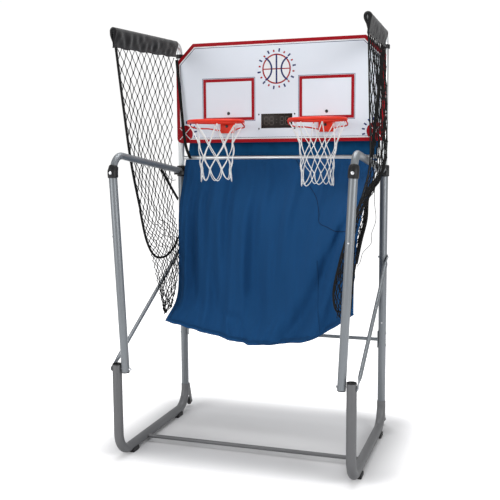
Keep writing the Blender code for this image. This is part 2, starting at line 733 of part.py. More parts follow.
def score_unit():
    """Build the score unit: lens, housing, circuit board, digits and buttons."""
    lens_front = BOARD_FRONT_Y + LENS_INSET
    block("display_window", Vector((-WINDOW_HALF + FIT, lens_front, WINDOW_LOW + FIT)),
          Vector((WINDOW_HALF - FIT, lens_front + LENS_THICK, WINDOW_HIGH - FIT)), LENS_DARK)
    near = BOARD_BACK_Y + FIT
    housing = block("score_housing", Vector((-HOUSING_HALF, near, HOUSING_LOW)),
                    Vector((HOUSING_HALF, near + HOUSING_DEPTH, HOUSING_HIGH)), BLACK)
    inner_low = Vector((-HOUSING_HALF + HOUSING_WALL, near - 0.01, HOUSING_LOW + HOUSING_WALL))
    inner_high = Vector((HOUSING_HALF, near + HOUSING_DEPTH, HOUSING_HIGH)) - Vector((1, 1, 1)) * HOUSING_WALL
    boolean(housing, block("housing_hollow", inner_low, inner_high, BLACK), "DIFFERENCE")
    circuit_y = BOARD_BACK_Y + CIRCUIT_BACK
    circuit = block("score_circuit_board", Vector((inner_low.x + FIT, circuit_y, inner_low.z + FIT)),
          Vector((inner_high.x - FIT, circuit_y + CIRCUIT_THICK, inner_high.z - FIT)), CIRCUIT_GREEN)
    middle = (WINDOW_LOW + WINDOW_HIGH) / 2
    digit_low = Vector((-DIGIT_HALF, lens_front + LENS_THICK + FIT, middle - DIGIT_HEIGHT / 2))
    digit_high = Vector((DIGIT_HALF, circuit_y + CIRCUIT_THICK / 2, middle + DIGIT_HEIGHT / 2))
    digits = block("digit_display", digit_low, digit_high, LENS_DARK)
    boolean(circuit, digits, "UNION")
    button_y = (circuit_y + CIRCUIT_THICK + inner_high.y) / 2
    for side, label in ((-1, "start_button"), (1, "mode_button")):
        place = Vector((side * BUTTON_SPACING / 2, button_y, HOUSING_LOW))
        drill(housing, label, place - Vector((0, 0, 0.01)), place + Vector((0, 0, 0.01)), BUTTON_R + FIT)
        slide = joint_empty(label + "_axis", place)
        top = HOUSING_WALL + FIT
        profile = [(0, -0.0035), (BUTTON_R - 0.001, -0.0035), (BUTTON_R, -0.0025), (BUTTON_R, top),
                   (BUTTON_R + BUTTON_FLANGE, top), (BUTTON_R + BUTTON_FLANGE, top + 0.002), (0, top + 0.002)]
        lathe(label, profile, RUBBER, place, UP, slide, sides=THIN_SIDES)


# ---------------------------------------------------------------- hoops

def hoop(side):
    """Weld a hoop: rim, neck, side rods and the bracket that covers its sensor."""
    name = "hoop_" + side_name(side)
    middle = Vector((side * HOOP_X, BOARD_FRONT_Y - HOOP_REACH, HOOP_Z))
    profile = [(RIM_R + across, high) for across, high in circle(RIM_ROD / 2, 8)]
    obj = lathe(name, profile, HOOP_RED, middle, UP, sides=RIM_STEPS)
    front = BOARD_FRONT_Y - FIT
    low = Vector((middle.x - BRACKET_HALF, front - BRACKET_DEPTH, BRACKET_LOW))
    high = Vector((middle.x + BRACKET_HALF, front, BRACKET_HIGH))
    wall = Vector((1, 1, 1)) * BRACKET_WALL
    bracket = block("bracket_" + name, low, high, HOOP_RED)
    hollow = block("bracket_hollow_" + name, low + wall - Vector((0, 0, 0.013)), high - wall, HOOP_RED)
    boolean(bracket, hollow, "DIFFERENCE")
    boolean(obj, bracket, "UNION")
    rim_back = middle.y + RIM_R
    neck = block("neck_" + name, Vector((middle.x - NECK_HALF, rim_back - 0.003, HOOP_Z - 0.0035)),
                 Vector((middle.x + NECK_HALF, front - 0.001, HOOP_Z + 0.0022)), HOOP_RED)
    boolean(obj, neck, "UNION")
    for hand in (-1, 1):
        start = Vector((middle.x + hand * (BRACKET_HALF - 0.002), front - 0.010, BRACKET_LOW + 0.008))
        reach = RIM_R + BRACKET_ROD / 2
        end = middle + Vector((hand * math.sin(ROD_ANGLE), math.cos(ROD_ANGLE), 0)) * reach
        boolean(obj, rod("rod_" + side_name(hand) + "_" + name, start, end, BRACKET_ROD / 2, 10), "UNION")
    drill(obj, "bolt", Vector((middle.x, front - BRACKET_DEPTH - 0.01, HOOP_BOLT_Z)),
          Vector((middle.x, front + 0.01, HOOP_BOLT_Z)), BOLT_R + BOLT_CLEAR)


def hoop_hardware(side):
    """Add a hoop's sensor and the bolt that holds it to the board and the rail."""
    name = side_name(side)
    x = side * HOOP_X
    front = BOARD_FRONT_Y - FIT
    low = Vector((x - 0.022, front - BRACKET_DEPTH + BRACKET_WALL + FIT, BRACKET_LOW + 0.002))
    high = Vector((x + 0.022, front - BRACKET_WALL - FIT, HOOP_BOLT_Z - 0.010))
    block("hoop_sensor_" + name, low, high, BLACK)
    plate_back = BOARD_BACK_Y + FIT + MOUNT_THICK
    flat_bolt("hoop_bolt_" + name, Vector((x, front - BRACKET_DEPTH, HOOP_BOLT_Z)), Vector((0, -1, 0)),
              plate_back - front + BRACKET_DEPTH, BLACK, tip=0.009)


def hoop_net(side):
    """Turn the outer shape of a hoop's net, open at both ends."""
    top = HOOP_Z - RIM_ROD / 2 - FIT
    waist = top - 0.155
    bottom = HOOP_Z - NET_LENGTH
    outer = [(RIM_R + 0.001, top), (0.112, top - 0.055), (0.090, top - 0.105), (NET_WAIST_R, waist),
             (NET_END_R, bottom)]
    profile = outer + [(radius - NET_WALL, height) for radius, height in reversed(outer)]
    lathe("hoop_net_" + side_name(side), profile, CORD_WHITE,
          Vector((side * HOOP_X, BOARD_FRONT_Y - HOOP_REACH, 0)), UP, sides=RIM_STEPS)


# ---------------------------------------------------------------- net arms

def net_arm_path(side):
    """Give the middle line of a net arm, from inside its upright to its tip."""
    x = side * HALF_WIDTH
    foot_end = Vector((x, REAR_Y, UPPER_TOP - NET_ARM_INSERT))
    corner = Vector((x, REAR_Y, NET_ARM_CORNER_Z))
    tip = corner + Vector((side * NET_ARM_FLARE, -NET_ARM_REACH, -NET_ARM_FALL))
    return filleted([foot_end, corner, tip], NET_ARM_BEND)


def net_arm(side):
    """Make a net arm, its fabric sleeve and the clamp that it turns in."""
    name = side_name(side)
    x = side * HALF_WIDTH
    swivel = joint_empty("swivel_axis_" + name, Vector((x, REAR_Y, UPPER_TOP)))
    path = net_arm_path(side)
    tube("net_arm_" + name, path, NET_ARM_D, 0.0015, SILVER, swivel)
    bore = NET_ARM_D / 2 + FIT
    around = UPPER_D / 2 + FIT
    half = CLAMP_HEIGHT / 2
    profile = [(bore, FIT), (around, FIT), (around, -half), (CLAMP_R, -half), (CLAMP_R, half - 0.002),
               (CLAMP_R - 0.002, half), (bore, half)]
    lathe("net_arm_clamp_" + name, profile, BLACK, Vector((x, REAR_Y, UPPER_TOP)), UP)
    net_sleeve(side, path, swivel)


def net_sleeve(side, path, parent):
    """Hang the fabric sleeve round a net arm: close over the tube, flat below it."""
    forward = (path[-1] - path[-2]).normalized()
    bend_end = path[-2]
    start = bend_end + forward * 0.002
    stations = [start + forward * ((path[-1] - start).length + SLEEVE_TIP) * step / 6 for step in range(7)]
    hole = NET_ARM_D / 2 + FIT * 2
    round_r = hole + SLEEVE_WALL
    outline = [(round_r * c, round_r * s if s >= 0 else SLEEVE_DROP * s) for c, s in circle(1.0, TUBE_SIDES)]
    outer = []
    inner = []
    for point in stations:
        side_axis = Vector((-forward.y, forward.x, 0)).normalized()
        up = side_axis.cross(forward).normalized()
        if up.z < 0:
            up = -up
        outer.append(ring_points(point, side_axis, up, outline))
        inner.append(ring_points(point, side_axis, up, circle(hole, TUBE_SIDES)))
    make_object("net_sleeve_" + side_name(side), loft(outer, inner), NET_BLACK, parent)


# ---------------------------------------------------------------- soft goods

def hung(x, forward, share):
    """Place a point by its x, its distance in front of the uprights and its share of the crossbar's height."""
    return Vector((x, REAR_Y - forward, UPPER_BAR_Z * share))


def return_sheet():
    """Hang the ball return sheet from the upper crossbar, gathered forward on its right side."""
    under_bar = (UPPER_BAR_Z - BAR_D / 2 - FIT) / UPPER_BAR_Z
    edge = HALF_WIDTH
    left = [hung(0.034 - edge, 0.020, under_bar), hung(0.030 - edge, 0.042, 0.924),
            hung(0.004 - edge, 0.052, 0.796), hung(0.001 - edge, 0.060, 0.604),
            hung(0.004 - edge, 0.105, 0.469), hung(0.005 - edge, 0.265, 0.398)]
    right = [hung(edge - 0.038, 0.020, under_bar), hung(edge - 0.035, 0.090, 0.938),
             hung(edge - 0.033, 0.300, 0.860), hung(edge - 0.050, 0.420, 0.753),
             hung(edge - 0.070, 0.400, 0.597), hung(edge - 0.080, 0.360, 0.4726)]
    top = [left[0], hung(-0.545 * edge, 0.006, under_bar), hung(0, 0.003, under_bar),
           hung(0.545 * edge, 0.006, under_bar), right[0]]
    bottom = [left[-1], hung(-0.509 * edge, 0.240, 0.348), hung(-0.036 * edge, 0.220, 0.327),
              hung(0.455 * edge, 0.270, 0.366), right[-1]]
    patch("return_sheet", left, right, top, bottom, (13, 11), SHEET_THICK, SHEET_BLUE)


def rear_curtain():
    """Hang the curtain from the lower board rail, behind the score unit and the crossbar."""
    half = HALF_WIDTH - 0.035
    behind_rail = RAIL_Y + BAR_D / 2 + FIT + SHEET_THICK / 2
    behind_bar = REAR_Y + BAR_D / 2 + FIT + SHEET_THICK / 2
    behind_housing = REAR_Y + 0.027
    line = [(behind_rail, LOWER_RAIL_Z), (behind_housing, LOWER_RAIL_Z - 0.030),
            (behind_housing, HOUSING_LOW - 0.003), (REAR_Y + 0.018, UPPER_BAR_Z + 0.053),
            (behind_bar, UPPER_BAR_Z), (behind_bar + 0.001, UPPER_BAR_Z - 0.022)]
    left = [Vector((-half, y, z)) for y, z in line]
    right = [Vector((half, y, z)) for y, z in line]
    top = [left[0], right[0]]
    bottom = [left[-1], right[-1]]
    patch("rear_curtain", left, right, top, bottom, (2, 11), SHEET_THICK, SHEET_BLUE)


def side_net(side):
    """Hang a side net from its sleeve, outside the arm, down to the corner of the sheet."""
    slope = NET_ARM_FALL / NET_ARM_REACH
    flare = NET_ARM_FLARE / NET_ARM_REACH

    def below_sleeve(forward):
        """Give the place just under the sleeve's lower edge."""
        height = NET_ARM_CORNER_Z - slope * forward - SLEEVE_DROP - FIT
        return flare * forward, forward, height / UPPER_BAR_Z

    front = [below_sleeve(0.675), (0.030, 0.615, 1.173), (0.026, 0.550, 0.974), (0.016, 0.450, 0.753),
             (0.006, 0.345, 0.611), (0.006, 0.265, 0.426)]
    rear = [below_sleeve(0.052), (0.025, 0.080, 1.173), (0.027, 0.105, 0.974), (0.016, 0.100, 0.753),
            (0.006, 0.110, 0.611), (0.006, 0.200, 0.426)]
    front = [hung(side * (HALF_WIDTH + out), forward, share) for out, forward, share in front]
    rear = [hung(side * (HALF_WIDTH + out), forward, share) for out, forward, share in rear]
    top = [front[0], rear[0]]
    bottom = [front[-1], rear[-1]]
    patch("side_net_" + side_name(side), front, rear, top, bottom, (4, 13), NET_THICK, NET_BLACK)


def main():
    """Build every piece of the machine."""
    clear_scene()
    for side in (-1, 1):
        base_tube(side)
        stub_cap(side)
        foot(side, "front", FRONT_Y + BASE_BEND)
        foot(side, "rear", REAR_Y - BASE_BEND - FOOT_LENGTH)
        lower_upright(side)
        collar(side)
        upper_upright(side)
        brace(side)
        pivot_bolt(side)
        front_frame(side)
        wheel_set(side)
        hoop(side)
        hoop_hardware(side)
        hoop_net(side)
        net_arm(side)
        side_net(side)
    cross_bars()
    backboard()
    score_unit()
    return_sheet()
    rear_curtain()


main()
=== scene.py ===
"""Finished looks for a two-player basketball hoop machine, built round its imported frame.

Each operator makes one piece or one group of like pieces. Sizes are in metres, in the frame's own
axes: the front faces -Y, +X is to the right of the players, and the floor is at Z 0.
"""
import json
import math
import random

import bmesh
import bpy
from bpy.props import FloatProperty, FloatVectorProperty, IntProperty, PointerProperty
from mathutils import Matrix, Vector

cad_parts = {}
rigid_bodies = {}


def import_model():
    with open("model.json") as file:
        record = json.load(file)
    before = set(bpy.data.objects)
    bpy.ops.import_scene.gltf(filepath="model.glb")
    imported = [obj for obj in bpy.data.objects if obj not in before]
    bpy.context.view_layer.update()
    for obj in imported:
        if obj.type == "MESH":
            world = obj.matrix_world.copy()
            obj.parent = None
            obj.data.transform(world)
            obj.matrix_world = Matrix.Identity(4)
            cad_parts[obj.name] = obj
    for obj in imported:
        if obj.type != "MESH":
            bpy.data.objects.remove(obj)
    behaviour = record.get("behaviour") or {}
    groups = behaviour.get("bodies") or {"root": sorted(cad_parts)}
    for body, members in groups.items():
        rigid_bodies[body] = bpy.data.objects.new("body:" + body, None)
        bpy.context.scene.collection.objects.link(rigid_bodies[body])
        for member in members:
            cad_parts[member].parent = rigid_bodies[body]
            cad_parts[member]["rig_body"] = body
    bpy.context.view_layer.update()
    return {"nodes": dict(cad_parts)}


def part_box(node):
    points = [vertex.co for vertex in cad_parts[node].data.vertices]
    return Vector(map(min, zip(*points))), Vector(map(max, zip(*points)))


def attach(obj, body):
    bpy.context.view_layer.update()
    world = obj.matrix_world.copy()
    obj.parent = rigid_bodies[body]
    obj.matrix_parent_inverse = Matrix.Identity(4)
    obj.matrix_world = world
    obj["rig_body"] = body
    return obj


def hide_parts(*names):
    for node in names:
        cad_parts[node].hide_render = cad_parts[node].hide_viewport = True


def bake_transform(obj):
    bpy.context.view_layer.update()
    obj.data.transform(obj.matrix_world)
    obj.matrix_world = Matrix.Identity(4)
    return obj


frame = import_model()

bl_info = {
    "name": "Basketball hoop machine",
    "version": (1, 0, 0),
    "blender": (4, 5, 0),
    "location": "View3D > Sidebar > Hoop machine",
    "description": "Makes the finished pieces of a folding two-player basketball hoop machine",
    "category": "Add Mesh",
}

SIDES = (("left", -1), ("right", 1))
UP = Vector((0, 0, 1))
FRONT = Vector((0, -1, 0))
MIRROR = Matrix.Scale(-1, 4, (1, 0, 0))
PRINT = 0.0004              # thickness of the printed marks
END_SIDES = 8               # the flat end of a tube has more corners than this


# ------------------------------------------------------------------ places on the frame

def middle(node):
    """Middle of a node's box."""
    low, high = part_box(node)
    return (low + high) / 2


def spot(side, x, y, z):
    """Point given for the right side, put on either side."""
    return Vector((side * x, y, z))


UPRIGHT = middle("lower_upright_right")
BASE_LOW, BASE_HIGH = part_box("base_tube_right")
BASE_R = (BASE_HIGH.x - BASE_LOW.x) / 2
BASE_Z = BASE_LOW.z + BASE_R
FRONT_Y = BASE_LOW.y + BASE_R
REAR_Y = UPRIGHT.y
HALF = UPRIGHT.x
STUB_TOP = BASE_HIGH.z
LOWER_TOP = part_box("lower_upright_right")[1].z
UPPER_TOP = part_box("upper_upright_right")[1].z
BOARD_LOW, BOARD_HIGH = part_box("backboard")
LENS_LOW, LENS_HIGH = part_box("display_window")
NET_MIDDLE = middle("hoop_net_right")
HOOP_X, HOOP_Y = NET_MIDDLE.x, NET_MIDDLE.y
BRACKET_LOW, HOOP_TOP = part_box("hoop_right")[0].z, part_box("hoop_right")[1].z
RIM_ROD = 0.016
HOOP_Z = HOOP_TOP - RIM_ROD / 2
RIM_R = 0.137
HOOK_R = 0.0052
BAR_Z = middle("upper_crossbar").z
ELBOW = Vector((HALF, FRONT_Y + 0.006, LOWER_TOP + 0.013))
ELBOW_TILT = math.radians(25)
LEG_FOOT = Vector((0.50615, FRONT_Y, 0.426))
NET_ARM_CORNER = Vector((HALF, REAR_Y, UPPER_TOP + 0.060))
NET_ARM_RUN = Vector((0.034, -0.690, -0.020))
NET_ARM_BEND = 0.048
TO_ARM = Vector((0, math.sin(ELBOW_TILT), math.cos(ELBOW_TILT)))
SHEET_FLAT = (1.12, 0.98)


# ------------------------------------------------------------------ settings

def colour(name, text, value):
    """Colour setting."""
    return FloatVectorProperty(name=name, description=text, default=value, size=3, min=0, max=1,
                               subtype="COLOR")


def length(name, text, value):
    """Length setting, in metres."""
    return FloatProperty(name=name, description=text, default=value, min=0, unit="LENGTH",
                         precision=4)


class HoopMachineFrameSettings(bpy.types.PropertyGroup):
    paint: colour("Frame paint", "Grey paint of the base, legs, arms and lower uprights",
                  (0.200, 0.216, 0.232))
    # the base's darker grey is painted shade: the low frame near the floor is darker where less light
    # reaches it
    base: colour("Base grey with painted shade", "Darker grey paint of the two base tubes and their brackets",
                 (0.145, 0.147, 0.152))
    silver: colour("Bright tube", "Bare tube of the upper uprights, net arms and crossbar",
                   (0.56, 0.58, 0.59))
    plastic: colour("Moulded plastic", "Collars, elbows, caps and clamps", (0.010, 0.010, 0.011))
    tube_sides: IntProperty(name="Tube sides", description="Faces round a tube", default=40,
                            min=12, max=96)
    bend_steps: IntProperty(name="Bend steps", description="Faces along a quarter bend",
                            default=12, min=4, max=48)


class HoopMachineBoardSettings(bpy.types.PropertyGroup):
    field: colour("Field", "Pale middle of the board", (0.84, 0.89, 0.97))
    white: colour("White", "Gap inside the border", (0.90, 0.91, 0.93))
    red: colour("Red", "Border, targets and corner marks", (0.36, 0.005, 0.012))
    navy: colour("Navy", "Thin lines and the ball mark", (0.020, 0.032, 0.140))
    border: length("Border", "Width of the red border", 0.0178)
    gap: length("Gap", "Width of the white gap inside the border", 0.0065)
    line: length("Line", "Width of the navy line", 0.0026)
    target_band: length("Target band", "Width of a target's red band", 0.0155)
    ball_mark: length("Ball mark radius", "Radius of the ball mark's ring", 0.076)
    dashes: IntProperty(name="Dashes", description="Dashes round the ball mark", default=20,
                        min=4, max=40)


class HoopMachineHoopSettings(bpy.types.PropertyGroup):
    paint: colour("Hoop paint", "Paint of the rims and their brackets", (0.80, 0.034, 0.012))
    cord: colour("Net cord", "White cord of the hoop nets", (0.86, 0.86, 0.85))
    cord_r: length("Net cord radius", "Half the cord's thickness", 0.0023)
    hooks: IntProperty(name="Hooks", description="Hooks under a rim", default=8, min=6, max=16)


class HoopMachineSoftSettings(bpy.types.PropertyGroup):
    sheet: colour("Sheet", "Blue of the return sheet", (0.0105, 0.069, 0.195))
    curtain: colour("Curtain", "Blue of the rear curtain", (0.005, 0.070, 0.185))
    sleeve: colour("Sleeve", "Black cloth of the arm sleeves", (0.010, 0.010, 0.011))
    net: colour("Side net", "Black cord of the side nets", (0.006, 0.006, 0.006))
    fold_depth: length("Fold depth", "Depth of the sheet's soft folds", 0.042)
    cell_width: length("Cell width", "Width of a side net's cell", 0.060)
    cell_height: length("Cell height", "Height of a side net's cell", 0.052)
    cord_r: length("Side net cord radius", "Half the thickness of the side nets' cord", 0.0021)
    strap: length("Strap width", "Width of the side nets' edge strap", 0.024)


class HoopMachineStageSettings(bpy.types.PropertyGroup):
    floor: colour("Floor", "Pale floor", (0.64, 0.64, 0.65))
    key: FloatProperty(name="Key light", description="Strength of the large front light",
                       default=140.0, min=0, unit="POWER")
    side: FloatProperty(name="Side light", description="Strength of the side light",
                        default=90.0, min=0, unit="POWER")
    top: FloatProperty(name="Top light", description="Strength of the light above and behind",
                       default=130.0, min=0, unit="POWER")
    ambient: FloatProperty(name="Ambient", description="Strength of the even light all round",
                           default=0.22, min=0)
    # the floor glow is held off near the machine, which leaves a painted shadow there
    glow: FloatProperty(name="Floor glow", default=1.0, min=0,
                        description="Light of the far floor, as the camera sees it")


def settings(kind):
    """One group of settings of the open scene."""
    return getattr(bpy.context.scene, "hoop_machine_" + kind)


# ------------------------------------------------------------------ materials

def new_group(name, inputs, outputs):
    """Empty shader group with its sockets, and its two end nodes."""
    tree = bpy.data.node_groups.new(name, "ShaderNodeTree")
    for label, kind, value in inputs:
        socket = tree.interface.new_socket(name=label, in_out="INPUT", socket_type=kind)
        socket.default_value = value
    for label, kind in outputs:
        tree.interface.new_socket(name=label, in_out="OUTPUT", socket_type=kind)
    start = tree.nodes.new("NodeGroupInput")
    end = tree.nodes.new("NodeGroupOutput")
    start.location, end.location = (-900, 0), (700, 0)
    return tree, start, end


def node(tree, kind, place, **values):
    """Node at a place, with its properties and its inputs set."""
    made = tree.nodes.new(kind)
    made.location = place
    for label, value in values.items():
        if label in made.bl_rna.properties:
            setattr(made, label, value)
        else:
            made.inputs[label.replace("_", " ")].default_value = value
    return made


def math_node(tree, place, operation, first, second):
    """Math node whose inputs are sockets or numbers."""
    made = node(tree, "ShaderNodeMath", place, operation=operation)
    for socket, value in zip(made.inputs, (first, second)):
        if isinstance(value, (int, float)):
            socket.default_value = value
        else:
            tree.links.new(value, socket)
    return made.outputs[0]


def mixed(tree, place, factor, first, second):
    """Colour mix whose inputs are sockets, colours or numbers."""
    made = node(tree, "ShaderNodeMix", place, data_type="RGBA")
    for index, value in ((0, factor), (6, first), (7, second)):
        socket = made.inputs[index]
        if isinstance(value, bpy.types.NodeSocket):
            tree.links.new(value, socket)
        elif isinstance(value, (int, float)):
            socket.default_value = value
        else:
            socket.default_value = (*value, 1.0)
    return made.outputs[2]


PATTERN_OUTPUTS = [("Colour", "NodeSocketColor"), ("Roughness", "NodeSocketFloat"),
                   ("Height", "NodeSocketFloat")]


def surface_grain():
    """Shader group: slow cloudiness and fine grain for paint, plastic and rubber."""
    name = "Surface grain"
    if name in bpy.data.node_groups:
        return bpy.data.node_groups[name]
    tree, start, end = new_group(name, [
        ("Colour", "NodeSocketColor", (0.5, 0.5, 0.5, 1)), ("Variation", "NodeSocketFloat", 0.1),
        ("Scale", "NodeSocketFloat", 40.0), ("Roughness", "NodeSocketFloat", 0.4),
        ("Roughness spread", "NodeSocketFloat", 0.1), ("Scuffs", "NodeSocketFloat", 0.0),
    ], PATTERN_OUTPUTS)
    place = node(tree, "ShaderNodeTexCoord", (-900, 300))
    cloud = node(tree, "ShaderNodeTexNoise", (-650, 300), Scale=6.0, Detail=3.0)
    fine = node(tree, "ShaderNodeTexNoise", (-650, 0), Detail=4.0, Roughness=0.6)
    marks = node(tree, "ShaderNodeTexNoise", (-650, -300), Scale=23.0, Detail=6.0, Roughness=0.75)
    for texture in (cloud, fine, marks):
        tree.links.new(place.outputs["Object"], texture.inputs["Vector"])
    tree.links.new(start.outputs["Scale"], fine.inputs["Scale"])
    both = math_node(tree, (-400, 200), "ADD", cloud.outputs[0], fine.outputs[0])
    swing = math_node(tree, (-250, 200), "SUBTRACT", both, 1.0)
    amount = math_node(tree, (-100, 200), "MULTIPLY", swing, start.outputs["Variation"])
    gain = math_node(tree, (50, 200), "ADD", amount, 1.0)
    shade = node(tree, "ShaderNodeVectorMath", (200, 200), operation="SCALE")
    tree.links.new(start.outputs["Colour"], shade.inputs[0])
    tree.links.new(gain, shade.inputs["Scale"])
    scuff = node(tree, "ShaderNodeMapRange", (-400, -300))
    scuff.inputs["From Min"].default_value = 0.62
    scuff.inputs["From Max"].default_value = 0.72
    tree.links.new(marks.outputs[0], scuff.inputs["Value"])
    mask = math_node(tree, (-100, -300), "MULTIPLY", scuff.outputs[0], start.outputs["Scuffs"])
    scuffed = mixed(tree, (400, 200), mask, shade.outputs[0], (0.5, 0.5, 0.5))
    tree.links.new(scuffed, end.inputs["Colour"])
    spread = math_node(tree, (50, 0), "MULTIPLY", swing, start.outputs["Roughness spread"])
    tree.links.new(math_node(tree, (200, 0), "ADD", spread, start.outputs["Roughness"]),
                   end.inputs["Roughness"])
    tree.links.new(fine.outputs[0], end.inputs["Height"])
    return tree


def cloth_weave():
    """Shader group: plain weave with soft streaks, laid on the piece's own UV map."""
    name = "Cloth weave"
    if name in bpy.data.node_groups:
        return bpy.data.node_groups[name]
    tree, start, end = new_group(name, [
        ("Colour", "NodeSocketColor", (0.1, 0.1, 0.1, 1)), ("Threads", "NodeSocketFloat", 900.0),
        ("Streaks", "NodeSocketFloat", 0.15),
    ], PATTERN_OUTPUTS)
    place = node(tree, "ShaderNodeUVMap", (-1100, 200))
    parts = node(tree, "ShaderNodeSeparateXYZ", (-900, 200))
    tree.links.new(place.outputs[0], parts.inputs[0])
    waves = []
    for index, row in ((0, 300), (1, 100)):
        turns = math_node(tree, (-700, row), "MULTIPLY", parts.outputs[index],
                          start.outputs["Threads"])
        waves.append(math_node(tree, (-550, row), "SINE", turns, 0.0))
    weave = math_node(tree, (-400, 200), "MULTIPLY", waves[0], waves[1])
    streak = node(tree, "ShaderNodeTexNoise", (-550, -200), Scale=1.0, Detail=3.0)
    stretch = node(tree, "ShaderNodeMapping", (-750, -200))
    stretch.inputs["Scale"].default_value = (70.0, 9.0, 1.0)
    tree.links.new(place.outputs[0], stretch.inputs["Vector"])
    tree.links.new(stretch.outputs[0], streak.inputs["Vector"])
    swing = math_node(tree, (-300, -200), "SUBTRACT", streak.outputs[0], 0.5)
    amount = math_node(tree, (-150, -200), "MULTIPLY", swing, start.outputs["Streaks"])
    thread = math_node(tree, (-200, 200), "MULTIPLY", weave, 0.05)
    total = math_node(tree, (0, 0), "ADD", amount, thread)
    gain = math_node(tree, (150, 0), "ADD", total, 1.0)
    shade = node(tree, "ShaderNodeVectorMath", (300, 0), operation="SCALE")
    tree.links.new(start.outputs["Colour"], shade.inputs[0])
    tree.links.new(gain, shade.inputs["Scale"])
    tree.links.new(shade.outputs[0], end.inputs["Colour"])
    tree.links.new(math_node(tree, (300, -200), "ADD", amount, 0.78), end.inputs["Roughness"])
    tree.links.new(weave, end.inputs["Height"])
    return tree


def finish(name, group, bump, values, **shader_values):
    """Material whose colour, roughness and relief come from a group."""
    if name in bpy.data.materials:
        return bpy.data.materials[name]
    material = bpy.data.materials.new(name)
    material.use_nodes = True
    tree = material.node_tree
    shader = tree.nodes["Principled BSDF"]
    for label, value in shader_values.items():
        shader.inputs[label.replace("_", " ")].default_value = value
    pattern = tree.nodes.new("ShaderNodeGroup")
    pattern.node_tree = group()
    pattern.location = (-500, 200)
    for label, value in values.items():
        pattern.inputs[label.replace("_", " ")].default_value = value
    tree.links.new(pattern.outputs["Colour"], shader.inputs["Base Color"])
    tree.links.new(pattern.outputs["Roughness"], shader.inputs["Roughness"])
    if bump:
        relief = node(tree, "ShaderNodeBump", (-250, -200), Strength=bump[0], Distance=bump[1])
        tree.links.new(pattern.outputs["Height"], relief.inputs["Height"])
        tree.links.new(relief.outputs[0], shader.inputs["Normal"])
    material.diffuse_color = pattern.inputs["Colour"].default_value
    return material


def grained(name, tint, roughness, metallic=0.0, variation=0.08, scale=60.0, spread=0.08,
            scuffs=0.0, bump=(0.12, 0.0006), **more):
    """Material with surface grain."""
    return finish(name, surface_grain, bump,
                  {"Colour": (*tint, 1.0), "Variation": variation, "Scale": scale,
                   "Roughness": roughness, "Roughness spread": spread, "Scuffs": scuffs},
                  Metallic=metallic, **more)


def woven(name, tint, threads=1600.0, streaks=0.16, bump=(0.25, 0.0004), sheen=0.02):
    """Material with a cloth weave."""
    return finish(name, cloth_weave, bump,
                  {"Colour": (*tint, 1.0), "Threads": threads, "Streaks": streaks},
                  Sheen_Weight=sheen, Sheen_Roughness=0.5, Specular_IOR_Level=0.10)


def paint():
    """Grey frame paint."""
    return grained("Frame paint", settings("frame").paint, 0.40, 0.35, 0.08, 90.0, 0.06, 0.06,
                   Specular_IOR_Level=0.4)


def shaded_base_paint():
    """Darker grey of the base, a painted shade for the low frame near the floor."""
    return grained("Base grey with painted shade", settings("frame").base, 0.50, 0.20, 0.08, 90.0, 0.06, 0.06,
                   Specular_IOR_Level=0.3)


def silver():
    """Bright tube."""
    return grained("Bright tube", settings("frame").silver, 0.30, 0.75, 0.08, 120.0, 0.08, 0.10)


def plastic():
    """Black moulded plastic."""
    return grained("Black moulded plastic", settings("frame").plastic, 0.45, 0.0, 0.15, 400.0,
                   0.08, bump=(0.2, 0.0003), Specular_IOR_Level=0.25)


def zinc():
    """Plated bolts."""
    return grained("Zinc plate", (0.62, 0.63, 0.65), 0.28, 0.9, 0.10, 300.0, 0.1)


def black_screw():
    """Blackened bolts."""
    return grained("Blackened steel", (0.018, 0.018, 0.02), 0.35, 0.4, 0.2, 300.0, 0.1)


def rubber():
    """Rubber of the feet and buttons."""
    return grained("Black rubber", (0.014, 0.014, 0.015), 0.72, 0.0, 0.2, 250.0, 0.1,
                   bump=(0.3, 0.0004))


# ------------------------------------------------------------------ modelling helpers

def deselect():
    """Leave edit mode and select nothing."""
    if bpy.context.mode != "OBJECT":
        bpy.ops.object.mode_set(mode="OBJECT")
    bpy.ops.object.select_all(action="DESELECT")


def pick(obj):
    """Select one object alone."""
    deselect()
    obj.select_set(True)
    bpy.context.view_layer.objects.active = obj


def named(obj, name, material):
    """Name an object with its mesh and give it its only material."""
    obj.name = name
    obj.data.name = name
    obj.data.materials.clear()
    obj.data.materials.append(material)
    return obj


def settle(obj, turn=None):
    """Put an object's place and turn in its mesh."""
    if turn is not None:
        obj.matrix_world = turn
    bpy.context.view_layer.update()
    obj.data.transform(obj.matrix_world)
    obj.matrix_world = Matrix.Identity(4)
    return obj


def smooth(obj, angle=35):
    """Shade an object smooth, with its sharper edges kept."""
    pick(obj)
    bpy.ops.object.shade_smooth_by_angle(angle=math.radians(angle))
    return obj


def apply(obj, kind, name, **values):
    """Add a modifier and apply it."""
    pick(obj)
    modifier = obj.modifiers.new(name, kind)
    for label, value in values.items():
        setattr(modifier, label, value)
    bpy.ops.object.modifier_apply(modifier=modifier.name)


def chamfered(obj, width, segments=2, angle=30):
    """Break an object's sharp edges."""
    apply(obj, "BEVEL", "Broken edges", width=width, segments=segments, limit_method="ANGLE",
          angle_limit=math.radians(angle), harden_normals=False)
    return obj


def joined(name, objs):
    """Join objects into one, with their materials."""
    pick(objs[0])
    for obj in objs[1:]:
        obj.select_set(True)
    bpy.ops.object.join()
    made = bpy.context.view_layer.objects.active
    made.name = name
    made.data.name = name
    return made


def copied(obj, name, place):
    """Copy an object with its own mesh, moved or turned by a matrix."""
    made = obj.copy()
    made.data = obj.data.copy()
    made.name = name
    made.data.name = name
    bpy.context.collection.objects.link(made)
    made.data.transform(place)
    if place.determinant() < 0:
        made.data.flip_normals()
    return made


def along(start, end):
    """Matrix that puts the Z axis on the line from start to end."""
    return Matrix.Translation(start) @ (end - start).to_track_quat("Z", "Y").to_matrix().to_4x4()


